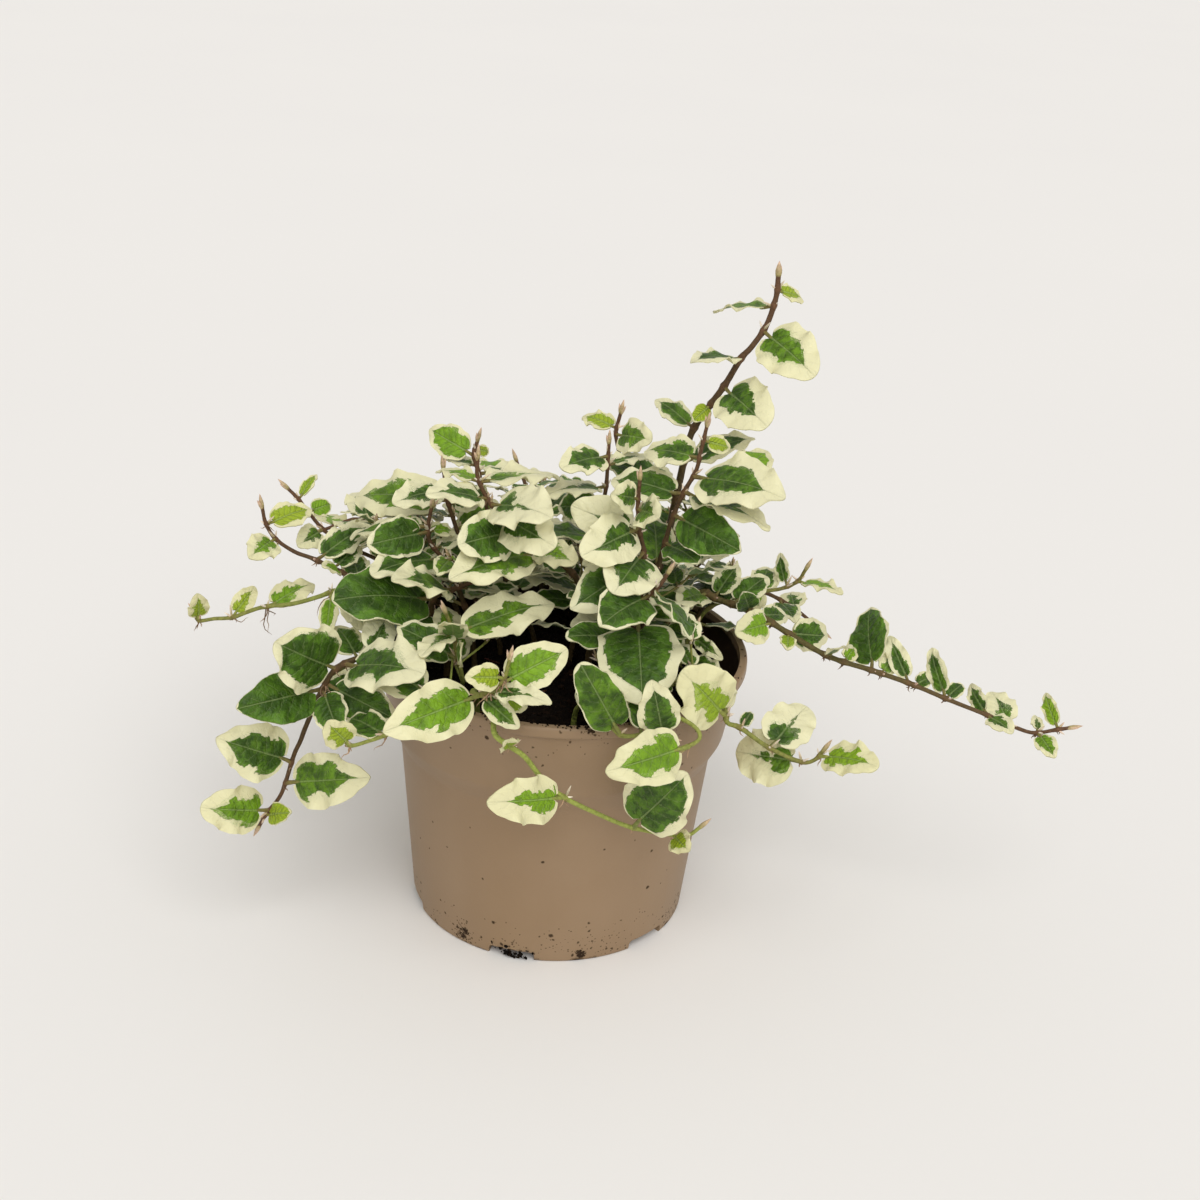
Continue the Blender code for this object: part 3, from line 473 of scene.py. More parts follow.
# Stems and their leaves: where they grow
# Thirty-one rooted stems. A leaf's row holds its share of the stem's length, its heading, rise and roll, its
# length, breadth to length, share of cream and youth. fill is the stretch, number and length of leaves by rule.
STEMS = {
    "front_right_runner": dict(
        root=(18, -34), thick=1.2, route=[(26, -44, 95), (33, -54, 97), (41, -60, 96), (43, -62, 93),
        (39, -63, 90)],
        leaves=[(0.98, -135, 5, -60, 27, 0.6, 0.45, 0.5)]),
    "front_left_shoot": dict(
        root=(-24, -35), thick=1.5, route=[(-24, -44, 94), (-24, -54, 99), (-21, -63, 103), (-16, -65, 107),
        (-14, -66, 111), (-13, -66, 116)],
        leaves=[(0.68, -140, -5, -55, 27, 0.62, 0.45, 0.45), (0.83, 20, 25, 55, 18, 0.75, 0.4, 0.5),
        (0.89, -140, 15, -70, 11, 0.75, 0.45, 0.9), (0.76, -25, 15, 35, 18, 0.4, 0.8, 0),
        (0.68, -30, -25, 55, 12, 0.6, 0.4, 0.2), (0.72, -10, -40, 45, 14, 0.8, 0.3, 0.8)]),
    "front_runner": dict(
        root=(-17, -33), thick=1.4, route=[(-16, -46, 94), (-17, -56, 97), (-17, -62, 94), (-16, -65, 91),
        (-11, -66, 88), (-7, -66, 85), (-2, -65, 78), (4, -64, 72), (14, -62, 66), (25, -59, 60), (37, -55, 56),
        (43, -53, 55), (46, -52, 57)],
        leaves=[(0.59, -145, 15, -70, 24, 0.6, 0.7, 0.6), (0.8, -30, 55, 100, 24, 0.85, 0.25, 0.1),
        (0.92, -65, 5, 45, 9, 0.9, 0.45, 0.9), (0.38, -95, 35, -140, 10, 0.65, 0.4, 0.8)]),
    "short_right_runner": dict(
        root=(25, -22), thick=1.4, route=[(36, -29, 95), (46, -37, 97), (51, -42, 93), (52, -45, 90),
        (56, -46, 89), (65, -48, 84), (75, -48, 80), (79, -48, 81), (81, -48, 84)],
        leaves=[(0.9, 140, -15, -65, 21, 0.85, 0.85, 0.2), (0.76, 60, 20, 15, 17, 0.9, 0.8, 0),
        (0.98, -45, 15, 30, 18, 0.7, 0.55, 0.7), (0.54, -140, 45, -95, 25, 0.75, 0.6, 0.8),
        (0.53, 110, 10, -10, 18, 0.55, 0.9, 0), (0.62, 70, 5, 15, 8, 0.5, 0.2, 0)]),
    "inner_front_stem": dict(
        root=(13, -24), thick=1.5, fill=(0.1, 0.45, 2, 18), route=[(18, -26, 96), (21, -28, 107),
        (24, -29, 118), (26, -29, 123), (29, -29, 126), (31, -29, 130)],
        leaves=[(0.66, -85, -25, 5, 27, 0.95, 0.28, 0), (0.83, -125, -5, -20, 20, 0.85, 0.12, 0),
        (0.88, -65, -10, -35, 21, 0.5, 0.1, 0), (0.49, -140, 15, -30, 19, 0.6, 0.05, 0)]),
    "lower_left_shoot": dict(
        root=(-42, -22), thick=1.5, route=[(-47, -27, 97), (-56, -33, 99), (-66, -37, 96), (-71, -37, 88),
        (-76, -36, 75), (-78, -36, 69), (-80, -36, 64), (-83, -36, 53), (-85, -36, 48), (-89, -36, 42),
        (-91, -36, 38)],
        leaves=[(0.38, -130, 35, -95, 23, 0.95, 0.25, 0), (0.46, -135, 5, -60, 25, 0.65, 0, 0),
        (0.74, -145, 30, -80, 23, 0.8, 0.42, 0.1), (0.82, -25, 20, 70, 27, 0.65, 0.5, 0.25),
        (0.94, -140, 20, -75, 20, 0.75, 0.5, 0.4), (0.96, -20, 35, 75, 11, 0.7, 0.1, 0.9),
        (0.35, -35, 15, 30, 27, 0.75, 0.5, 0), (0.46, -60, -30, 35, 14, 0.8, 0.15, 0),
        (0.27, 75, 25, 20, 13, 0.8, 0.8, 0)]),
    "left_front_runner": dict(
        root=(-32, -30), thick=1.2, route=[(-33, -42, 94), (-38, -52, 96), (-43, -60, 91), (-48, -63, 88),
        (-53, -62, 85), (-58, -62, 83), (-60, -62, 84)],
        leaves=[(0.97, -130, 50, -115, 11, 0.9, 0.45, 0.9), (0.77, 130, -10, -25, 17, 0.6, 0.2, 0)]),
    "low_left_sprig": dict(
        root=(-30, -24), thick=1.1, route=[(-29, -30, 91), (-31, -34, 103), (-32, -36, 110), (-34, -37, 116)],
        leaves=[(0.72, -90, 50, 0, 13, 0.7, 0.4, 0.5), (0.8, 35, 5, 30, 30, 0.5, 0.6, 0.3),
        (0.8, -120, 0, 10, 13, 0.8, 0.8, 0.2), (0.62, -115, 25, -90, 11, 0.85, 0.4, 0.8),
        (0.5, 175, 25, -35, 17, 0.7, 0.2, 0)]),
    "front_centre_shoot": dict(
        root=(6, -38), thick=1.3, route=[(8, -46, 93), (13, -55, 96), (20, -61, 92), (27, -62, 93),
        (33, -63, 93)],
        leaves=[(0.71, -150, 60, -100, 24, 0.55, 0.05, 0.2), (0.99, -130, 70, -130, 18, 0.7, 0.35, 0.1),
        (0.85, 85, 20, 5, 15, 0.6, 0.2, 0)]),
    "brown_centre_shoot": dict(
        root=(13, -12), thick=1.5, fill=(0.1, 0.55, 3, 20), route=[(21, -12, 100), (24, -14, 118),
        (24, -15, 130), (22, -15, 138), (21, -15, 146), (21, -15, 154)],
        leaves=[(0.87, -70, 15, 55, 14, 0.85, 0.5, 0.2), (0.92, -125, 20, -75, 12, 0.85, 0.55, 0.2),
        (0.68, -110, -10, -25, 20, 0.95, 0.5, 0), (0.79, -130, -5, -50, 21, 0.75, 0.7, 0.1),
        (0.77, -155, 15, -55, 20, 0.8, 0.85, 0), (0.64, -140, -20, -50, 24, 0.7, 0.3, 0)]),
    "thick_left_shoot": dict(
        root=(9, -6), thick=1.9, fill=(0.08, 0.5, 3, 18), route=[(9, -6, 103), (4, -8, 117), (-1, -10, 123),
        (-9, -12, 128), (-16, -14, 134), (-22, -14, 141), (-26, -14, 147), (-28, -14, 152), (-28, -14, 157)],
        leaves=[(0.92, 140, -5, 0, 15, 0.6, 0.7, 0.6), (0.92, 35, -5, 0, 24, 0.6, 0.85, 0.3),
        (0.83, -40, 10, 30, 23, 0.8, 0.85, 0), (0.85, -140, 15, -20, 19, 0.7, 0.6, 0),
        (0.77, -50, 0, 50, 22, 0.7, 0.6, 0), (0.7, -130, 5, -55, 19, 0.85, 0.25, 0),
        (0.6, -45, 5, 25, 15, 0.75, 0.6, 0.6), (0.58, -135, 0, -25, 29, 0.6, 0.5, 0.3)]),
    "left_inner_shoot": dict(
        root=(-36, -6), thick=2.0, route=[(-36, -8, 90), (-41, -10, 103), (-40, -12, 110), (-34, -14, 114),
        (-28, -16, 118), (-26, -17, 122), (-26, -18, 129)],
        leaves=[(0.63, -120, 25, -25, 27, 0.55, 0.55, 0.2), (0.79, 40, 10, 25, 9, 0.8, 0.9, 0),
        (0.69, 40, -20, 0, 16, 0.7, 0.8, 0), (0.5, -140, 10, -30, 29, 0.8, 0.02, 0),
        (0.4, -120, -15, -20, 14, 0.8, 0.25, 0)]),
    "second_shoot": dict(
        root=(21, -7), thick=1.5, fill=(0.1, 0.5, 4, 20), route=[(25, -8, 103), (28, -8, 119), (30, -8, 130),
        (32, -8, 140), (35, -8, 149), (38, -8, 156), (39, -8, 163), (40, -8, 170)],
        leaves=[(0.89, 140, -10, -30, 18, 0.75, 0.5, 0.2), (0.95, 35, -20, 70, 9, 0.65, 0.35, 0.9),
        (0.82, -40, 5, 30, 28, 0.75, 0.5, 0.1), (0.74, 155, 0, -30, 20, 0.65, 0.3, 0),
        (0.75, -35, -5, 0, 26, 0.6, 0.6, 0.2), (0.66, -45, -5, 55, 23, 0.65, 0.03, 0),
        (0.55, -55, 0, 20, 14, 0.8, 0.05, 0)]),
    "right_soil_sprig": dict(
        root=(40, -8), thick=1.1, route=[(41, -8, 92), (41, -8, 99), (42, -8, 103)],
        leaves=[(0.87, -60, 0, 45, 14, 0.35, 0.5, 0.2), (0.51, -55, -5, 20, 16, 0.6, 0.4, 0.1)]),
    "left_runner": dict(
        root=(-45, -9), thick=1.3, fill=(0.1, 0.4, 2, 14), route=[(-43, -9, 93), (-51, -9, 103), (-62, -9, 109),
        (-70, -9, 109), (-77, -9, 106), (-85, -9, 103), (-95, -9, 101), (-104, -9, 97), (-110, -9, 96),
        (-115, -9, 95), (-116, -9, 98)],
        leaves=[(1.0, -95, 75, -175, 10, 0.75, 0.55, 0.9), (0.85, 50, 35, 35, 10, 0.7, 0.6, 0.9),
        (0.72, 55, 5, 20, 17, 0.6, 0.65, 0.5), (0.44, -40, -30, 25, 12, 0.8, 0.6, 0.4),
        (0.49, -70, -35, 20, 13, 0.5, 0.4, 0.5)]),
    "curved_left_shoot": dict(
        root=(-28, 0), thick=1.5, fill=(0.1, 0.6, 3, 18), route=[(-30, 0, 97), (-35, 0, 111), (-39, 0, 118),
        (-43, 0, 123), (-44, 0, 128), (-43, 0, 135)],
        leaves=[(0.67, -125, 5, -20, 24, 0.6, 0.35, 0), (0.85, -140, 0, -55, 18, 0.75, 0.15, 0),
        (0.89, 170, -15, 0, 22, 0.6, 0.4, 0.2), (0.86, 45, -15, 30, 9, 0.7, 0.5, 0.6),
        (0.74, 45, 0, 0, 12, 0.7, 0.9, 0)]),
    "left_shoot": dict(
        root=(-42, 6), thick=1.3, fill=(0.08, 0.4, 3, 16), route=[(-48, 4, 98), (-57, 2, 104), (-65, 0, 108),
        (-71, 0, 111), (-80, 0, 115), (-86, 0, 117), (-92, 0, 121), (-95, 0, 126), (-96, 0, 131)],
        leaves=[(0.93, 45, 5, 25, 14, 0.75, 0.35, 0.9), (0.86, -105, 0, -30, 14, 0.75, 0.6, 0.5),
        (0.67, 50, 15, 20, 20, 0.55, 0.4, 0), (0.59, 70, 20, 25, 11, 0.7, 0.4, 0),
        (0.55, -135, 25, -35, 8, 0.8, 0.5, 0.6), (0.46, 110, 10, -25, 12, 0.8, 0.3, 0)]),
    "short_centre_shoot": dict(
        root=(3, 8), thick=1.3, fill=(0.1, 0.65, 4, 20), route=[(8, 8, 111), (10, 8, 133), (11, 8, 143),
        (11, 8, 151), (11, 8, 157)],
        leaves=[(0.95, -135, 0, -25, 16, 0.75, 0.45, 0.1), (0.91, 40, 0, 0, 13, 0.7, 0.8, 0),
        (0.81, -150, 0, 0, 18, 0.7, 0.8, 0), (0.72, 150, -15, -70, 14, 0.8, 0.2, 0)]),
    "tall_shoot": dict(
        root=(26, 12), thick=1.5, slim=1.4, fill=(0.1, 0.55, 5, 20), route=[(28, 12, 107), (32, 12, 128),
        (35, 14, 151), (37, 15, 161), (42, 15, 170), (46, 15, 177), (50, 16, 185), (53, 16, 189), (57, 17, 196),
        (59, 17, 205), (59, 17, 211)],
        leaves=[(0.66, -130, -30, -40, 7, 0.8, 0.1, 0.9), (0.59, 135, 15, -25, 15, 0.55, 0.35, 0.1),
        (0.71, -60, -10, 40, 21, 0.85, 0.6, 0.1), (0.79, -140, 5, 0, 17, 0.7, 0.4, 0),
        (0.87, -55, -15, 40, 22, 0.8, 0.5, 0.3), (0.93, 145, -15, 0, 18, 0.7, 0.4, 0.3),
        (0.97, 35, -20, 35, 9, 0.8, 0.5, 0.9)]),
    "right_trailing_stem": dict(
        root=(31, 5), thick=1.7, fill=(0.06, 0.2, 2, 16), route=[(34, 8, 98), (40, 8, 107), (45, 8, 109),
        (49, 8, 107), (55, 6, 106), (63, 4, 104), (73, 2, 99), (86, 0, 93), (100, -2, 90), (113, -4, 87),
        (126, -6, 83), (137, -8, 80), (147, -10, 77), (153, -11, 76), (159, -12, 78), (163, -12, 79)],
        leaves=[(0.2, -120, 10, -20, 15, 0.7, 0.4, 0.3), (0.22, 55, 30, 15, 12, 0.7, 0.4, 0.1),
        (0.26, 125, -5, -10, 20, 0.6, 0.25, 0), (0.26, 45, 20, 15, 14, 0.7, 0.25, 0),
        (0.3, -115, 50, -135, 10, 0.8, 0.05, 0), (0.32, 40, -15, 35, 11, 0.7, 0.4, 0),
        (0.35, -135, 5, -60, 14, 0.8, 0.5, 0.6), (0.39, 30, -15, 70, 15, 0.75, 0.4, 0),
        (0.39, -95, -10, -10, 7, 0.8, 0.3, 0.8), (0.48, -60, 35, 0, 12, 0.6, 0.6, 0),
        (0.52, 65, 10, 35, 7, 0.8, 0.5, 0.6), (0.58, 90, 30, -45, 21, 0.75, 0.1, 0),
        (0.6, 65, 10, 35, 9, 0.8, 0.7, 0.4), (0.66, 120, 40, -40, 14, 0.5, 0.5, 0),
        (0.67, 50, 0, 55, 8, 0.7, 0.3, 0.2), (0.74, 110, 30, -55, 15, 0.5, 0.4, 0.1),
        (0.74, 50, 10, 20, 8, 0.7, 0.2, 0), (0.83, 105, 15, -55, 12, 0.5, 0.5, 0.1),
        (0.83, -60, 0, 15, 10, 0.8, 0.5, 0.1), (0.88, 110, 15, -10, 13, 0.8, 0.8, 0.1),
        (0.94, -75, -10, 20, 10, 0.7, 0.4, 0.5), (0.94, 85, 10, 10, 7, 0.6, 0.7, 0.3),
        (0.98, 100, 25, -50, 12, 0.45, 0.3, 0.7)]),
    "right_side_shoot": dict(
        root=(40, 14), thick=1.1, fill=(0.15, 0.75, 4, 14), route=[(46, 13, 100), (54, 13, 105), (62, 13, 108),
        (70, 13, 110), (75, 13, 113), (77, 13, 117)],
        leaves=[(0.84, 100, 30, -50, 11, 0.5, 0.4, 0.1), (0.92, -40, 5, 0, 14, 0.6, 0.6, 0.6)]),
    "left_middle_shoot": dict(
        root=(-21, 14), thick=1.3, fill=(0.15, 0.5, 2, 18), route=[(-28, 14, 95), (-34, 14, 116),
        (-39, 14, 131), (-40, 14, 136), (-41, 14, 143)],
        leaves=[(0.89, -135, 0, -25, 17, 0.7, 0.6, 0), (0.83, 155, -10, -35, 30, 0.6, 0.45, 0.3),
        (0.81, 40, -5, 60, 10, 0.7, 0.8, 0), (0.55, 60, 10, 30, 12, 0.7, 0.1, 0)]),
    "small_left_shoot": dict(
        root=(-36, 18), thick=1.1, fill=(0.1, 0.55, 3, 14), route=[(-46, 18, 99), (-61, 18, 108),
        (-73, 18, 113), (-80, 18, 118), (-85, 18, 124), (-88, 18, 128), (-91, 18, 131)],
        leaves=[(0.94, 65, 30, 0, 9, 0.5, 0.3, 0.8), (0.87, 55, 0, 50, 8, 0.8, 0.2, 0.6),
        (0.77, -115, -5, -40, 11, 0.8, 0.7, 0.2), (0.62, 70, 20, 10, 12, 0.7, 0.3, 0)]),
    "upper_left_shoot": dict(
        root=(-10, 20), thick=1.3, fill=(0.15, 0.8, 4, 18), route=[(-20, 20, 104), (-26, 20, 124),
        (-30, 20, 140), (-32, 20, 146), (-31, 20, 151)],
        leaves=[(0.93, 150, 15, -55, 15, 0.75, 0.3, 0.5), (0.96, 50, -20, 75, 5, 0.8, 0.3, 0.9),
        (0.88, 145, -5, 0, 12, 0.7, 0.8, 0), (0.85, 30, -10, 0, 19, 0.6, 0.9, 0.1)]),
    "top_centre_shoot": dict(
        root=(13, 24), thick=1.3, fill=(0.1, 0.6, 4, 19), route=[(15, 24, 111), (16, 24, 133), (15, 24, 146),
        (13, 24, 155), (14, 24, 162)],
        leaves=[(0.94, 140, 0, -25, 12, 0.65, 0.4, 0.9), (0.91, -50, 5, 60, 14, 0.85, 0.5, 0.3),
        (0.67, 30, 10, 30, 16, 0.7, 0.7, 0.1)]),
    "back_left_shoot": dict(
        root=(-34, 22), thick=1.3, fill=(0.2, 0.98, 9, 17), route=[(-44, 34, 100), (-58, 42, 110),
        (-72, 44, 112), (-84, 42, 108)],
        leaves=[]),
    "back_middle_shoot": dict(
        root=(-8, 36), thick=1.3, fill=(0.25, 0.98, 7, 17), route=[(-10, 44, 100), (-14, 52, 118),
        (-20, 56, 132)],
        leaves=[]),
    "back_right_shoot": dict(
        root=(24, 34), thick=1.3, fill=(0.2, 0.98, 8, 17), route=[(30, 42, 100), (40, 50, 114), (50, 52, 126),
        (56, 50, 134)],
        leaves=[]),
    "back_left_runner": dict(
        root=(-24, 40), thick=1.3, fill=(0.25, 0.98, 9, 15), route=[(-30, 54, 97), (-36, 64, 92), (-40, 70, 78),
        (-44, 70, 58), (-46, 66, 40)],
        leaves=[]),
    "back_right_runner": dict(
        root=(12, 44), thick=1.3, fill=(0.25, 0.98, 9, 15), route=[(16, 54, 97), (22, 64, 93), (34, 72, 88),
        (52, 78, 84), (66, 78, 80)],
        leaves=[]),
    "back_right_sprig": dict(
        root=(42, 28), thick=1.2, fill=(0.2, 0.98, 7, 14), route=[(50, 34, 98), (62, 40, 98), (76, 42, 92),
        (88, 40, 84)],
        leaves=[]),
}
ROOT_DEPTH = 11
ABOVE_SOIL = 4
TIP_THICKNESS = 0.8
BUD_LENGTH = 5
BLADE = 0.8
STALK_HALF = 0.6
STALK_SHORTEST = 1
STALK_SHARE = 0.17
OUTLINE_SKEW = 0.62
OUTLINE_FULLNESS = 0.75
FOLD = 0.16
ARCH = 0.05
LOBE = 0.09
WAVE = 0.045
WAVES_PER_LEAF = 2.3
CLEARANCE = 0.35
BLADE_ROWS = ((23, (0.12, 0.42, 0.78)), (12, (0.15, 0.58)), (0, (0.3,)))
SIDE_ANGLE = 80
SIDE_SPREAD = 25
RISES = (-12.0, 22.0)
ROLLS = (-22.0, 22.0)
SIZES = (0.8, 1.15)
BREADTHS = (0.62, 0.85)
UPRIGHT = 0.85
YOUNG_FROM = 0.8
SEED = 7
SPRIG_PITCH = 6.3
SPRIG_SHARES = (0.12, 0.86)
SPRIG_LENGTHS = (13, 26)
SPRIG_RISES = (5, 60)
SPRIG_LEAN = 0.4
SPRIG_STRAIGHT = 2.2
SPRIG_BEND = 0.55
SPRIG_SAG = 0.5
SPRIG_LIFT = 0.35
SPRIG_LOOK = {"thick": 0.75, "slim": 0.62}
SPRIG_TRIES = 10
SPRIG_LEAF_PITCH = 5.5
SPRIG_LEAVES = (9, 16)
SPRIG_LEAF_RISE = 8
SPRIG_TIGHT_NUDGES = 13
CROWN_MIDDLE = Vector((-8, 2))
CROWN_RADIUS = 68
CROWN_FRONT = -50
CROWN_HEIGHTS = (83, 130)
CROWN_MARKS = ((0, 0), (0, 0.5), (0, 1), (-1, 0.4), (1, 0.4))
SEEN_MARKS = ((0, 0.05), (0, 0.5), (0, 1.0), (-0.9, 0.4), (0.9, 0.4))
AWAY_FROM_CAMERA = Vector((0.02, 0.915, -0.404))
LOOK_BEHIND = 120
DARK_GAPS = [((-13, 2, 80), 12), ((-2, 2, 80), 11), ((50, 20, 86), 6)]
MORE_LEAVES = [
    ("left_front_runner", (0.42, 155, 8, -35, 21, 0.65, 0.45, 0.0)),
    ("lower_left_shoot", (0.44, -10, -21, 57, 20, 0.68, 0.25, 0.0)),
    ("lower_left_shoot", (0.5, 41, 8, 40, 18, 0.68, 0.4, 0.0)),
]
NUDGE_STEPS = (
    (6, 0, 0, 1.0), (0, 6, 0, 1.0), (11, 5, 6, 1.0), (0, 12, 0, 0.95),
    (18, 8, 12, 0.95), (26, 3, 15, 0.9), (38, 14, 0, 0.85), (55, 10, 20, 0.8),
)
UP = Vector((0, 0, 1))


def stem_points(stem):
    """The stem's route, from its foot in the soil, or in the stem that bears it, to the base of its bud."""
    if "points" in stem:
        return stem["points"]
    x, y = stem["root"]
    foot = [(x, y, SOIL_TOP - ROOT_DEPTH), (x, y, SOIL_TOP + ABOVE_SOIL)]
    return [Vector(point) for point in foot + stem["route"]]


def legs_of(stem):
    """The straight legs of the stem above the soil, and their length in all."""
    points = stem_points(stem)[1:]
    legs = list(zip(points, points[1:]))
    return legs, sum((end - start).length for start, end in legs)


def along_stem(stem, share):
    """The point at this share of the route above the soil, and the stem's direction there."""
    legs, length = legs_of(stem)
    left = share * length
    for start, end in legs:
        leg = end - start
        if left <= leg.length:
            break
        left -= leg.length
    return start + leg * min(left / leg.length, 1.0), leg.normalized()


def bare_stem(stem):
    """The plain four-sided stem with its bud, which leaves keep clear of."""
    points = stem_points(stem)
    taper = (TIP_THICKNESS - stem["thick"]) / (len(points) - 1)
    radii = [stem["thick"] + taper * i for i in range(len(points))]
    bud = (points[-1] - points[-2]).normalized() * BUD_LENGTH
    points += [points[-1] + bud * 0.4, points[-1] + bud]
    radii += [TIP_THICKNESS * 1.25, 0.35]
    curve = bpy.data.curves.new("route", "CURVE")
    curve.dimensions = "3D"
    curve.bevel_depth = MM
    curve.bevel_resolution = 0
    curve.use_fill_caps = True
    spline = curve.splines.new("POLY")
    spline.points.add(len(points) - 1)
    for spot, point, radius in zip(spline.points, points, radii):
        spot.co = (*(point * MM), 1)
        spot.radius = radius
    guide = added("route", curve)
    bm = bmesh.new()
    bm.from_mesh(bpy.data.meshes.new_from_object(guide.evaluated_get(bpy.context.evaluated_depsgraph_get())))
    bmesh.ops.remove_doubles(bm, verts=bm.verts, dist=MERGE)
    bpy.data.objects.remove(guide)
    return bm


def leaf_axes(heading, rise, roll):
    """The leaf's midrib direction, its left side and its upper face's normal."""
    heading, rise, roll = (math.radians(angle) for angle in (heading, rise, roll))
    ahead = around(math.cos(rise), heading, math.sin(rise))
    up = (UP - ahead * UP.dot(ahead)).normalized()
    face = up * math.cos(roll) + ahead.cross(up) * math.sin(roll)
    return ahead, face.cross(ahead), face


def leaf_of(stem, row, nudge, phase):
    """A leaf from its row, nudged by (turn, lift, tilt, size); phase shifts the waves of its margin."""
    share, heading, rise, roll, length, breadth, cream, young = row
    turn, lift, tilt, size = nudge
    axes = leaf_axes(heading + turn, rise + lift, roll + tilt)
    stalk = STALK_SHORTEST + STALK_SHARE * length
    spot, _ = along_stem(stem, share)
    leaf = {"axes": axes, "stalk": stalk, "base": spot + axes[0] * stalk, "phase": phase, "node": spot}
    leaf.update(length=length * size, half=breadth * length * size / 2, cream=cream, young=young)
    return leaf


def outline(share):
    """The ovate outline: the half breadth at this share of the length, as a share of the largest."""
    return math.sin(math.pi * share**OUTLINE_SKEW) ** OUTLINE_FULLNESS if share < 1 else 0.0


def blade_point(leaf, side, share):
    """A point of the plain blade: side runs from -1 to 1 across it, and share from 0 to 1 along it."""
    length, half = leaf["length"], leaf["half"] * outline(share)
    middle = math.sin(math.pi * min(share, 1))
    ripple = math.sin(math.tau * (WAVES_PER_LEAF * share + leaf["phase"] + side / 4))
    ahead = length * (share - LOBE * side**2 * (1 - share) ** 3)
    height = FOLD * half * abs(side) + ARCH * length * middle
    height += WAVE * length * side**2 * ripple * math.sqrt(max(middle, 0))
    ahead_axis, left_axis, face_axis = leaf["axes"]
    return leaf["base"] + ahead_axis * ahead + left_axis * side * half + face_axis * height


def thickened(bm, faces, way):
    """Turn the faces into a closed sheet, by a copy of them moved this way; returns the copy's vertices."""
    made = bmesh.ops.extrude_face_region(bm, geom=faces)
    lower = [item for item in made["geom"] if isinstance(item, bmesh.types.BMVert)]
    bmesh.ops.translate(bm, vec=way, verts=lower)
    return lower


def plain_leaf(leaf, grow=0.0, with_stalk=True):
    """The leaf with few faces, as a thin closed sheet that grow thickens and widens, to test its clearance."""
    rows = next(rows for shortest, rows in BLADE_ROWS if leaf["length"] >= shortest)
    shares = [-1.0] * with_stalk + [0.0, *rows, 1.0]
    bm = bmesh.new()
    bmesh.ops.create_grid(bm, x_segments=2, y_segments=len(shares) - 1, size=1)
    ahead_axis, left_axis, face_axis = leaf["axes"]
    blade_faces = set(bm.faces)
    stalk_middle = []
    for vertex in bm.verts:
        side = round(vertex.co.x)
        share = shares[round((vertex.co.y + 1) / 2 * (len(shares) - 1))]
        if share < 0:
            blade_faces.difference_update(vertex.link_faces)
            if side == 0:
                stalk_middle.append(vertex)
        if share > 0:
            point = blade_point(leaf, side, share)
        else:
            point = leaf["base"] + ahead_axis * share * leaf["stalk"] + left_axis * side * STALK_HALF
        point += left_axis * side * grow + face_axis * (BLADE / 2 + grow)
        if share == 1:
            point += ahead_axis * grow
        vertex.co = point * MM
    bmesh.ops.triangulate(bm, faces=list(blade_faces))
    bmesh.ops.dissolve_verts(bm, verts=stalk_middle)
    bmesh.ops.remove_doubles(bm, verts=bm.verts, dist=MERGE)
    thickened(bm, bm.faces[:], face_axis * -(BLADE + 2 * grow) * MM)
    bmesh.ops.recalc_face_normals(bm, faces=bm.faces)
    return bm


class Obstacle:
    """What a new leaf must stay clear of: the faces of one shape, their box, and the stem that owns them."""

    def __init__(self, owner, bm):
        self.owner = owner
        self.tree = BVHTree.FromBMesh(bm)
        spots = [vertex.co for vertex in bm.verts]
        self.low = [min(spot[i] for spot in spots) for i in range(3)]
        self.high = [max(spot[i] for spot in spots) for i in range(3)]
        bm.free()

    def meets(self, other):
        apart = any(self.low[i] > other.high[i] or other.low[i] > self.high[i] for i in range(3))
        return not apart and bool(self.tree.overlap(other.tree))


def nudges():
    """Each way to nudge a leaf, the smallest first, to either side, up or down."""
    found = [(0, 0, 0, 1.0)]
    for turn, lift, tilt, size in NUDGE_STEPS:
        found += [(turn, lift, tilt, size), (-turn, lift, -tilt, size)]
        found += [(turn, -lift, tilt, size), (-turn, -lift, -tilt, size)]
    return found


def is_clear(leaf, owner):
    """Whether the leaf keeps its gap to all else; its stalk may meet its own stem."""
    whole = Obstacle(owner, plain_leaf(leaf, CLEARANCE))
    blade = Obstacle(owner, plain_leaf(leaf, CLEARANCE, with_stalk=False))
    return not any((blade if other.owner == owner else whole).meets(other) for other in obstacles)


def place_leaf(owner, stem, row, phase, ways=None):
    """The leaf with the first nudge that keeps it clear of the obstacles, which it joins, or None."""
    for nudge in nudges()[:ways]:
        leaf = leaf_of(stem, row, nudge, phase)
        if is_clear(leaf, owner):
            obstacles.append(Obstacle(owner, plain_leaf(leaf)))
            return leaf
    return None


def fill_rows(stem):
    """Rows of further leaves, on the two sides of the stem in turn; the last on a back stem are young."""
    first, last, count, length = stem["fill"]
    lead = draw.uniform(0.0, 360.0)
    rows = []
    for i in range(count):
        share = first + (last - first) * (i + 0.5) / count
        _, ahead = along_stem(stem, share)
        if ahead.z < UPRIGHT:
            lead = math.degrees(math.atan2(ahead.y, ahead.x))
        side = SIDE_ANGLE if i % 2 else -SIDE_ANGLE
        heading = lead + side + draw.uniform(-SIDE_SPREAD, SIDE_SPREAD)
        size = length * draw.uniform(*SIZES)
        rise, roll, breadth = draw.uniform(*RISES), draw.uniform(*ROLLS), draw.uniform(*BREADTHS)
        cream, young = look.uniform(0.05, 0.75), max(0.0, share - YOUNG_FROM) * 4 + look.uniform(0, 0.15)
        rows.append((share, heading, rise, roll, size, breadth, cream, young))
    return rows


def hides_a_leaf(spots):
    """Whether one of the spots stands before a leaf that the photograph shows."""
    rays = [(spot * MM, AWAY_FROM_CAMERA, LOOK_BEHIND * MM) for spot in spots]
    return any(other.tree.ray_cast(*ray)[0] for ray in rays for other in shown)


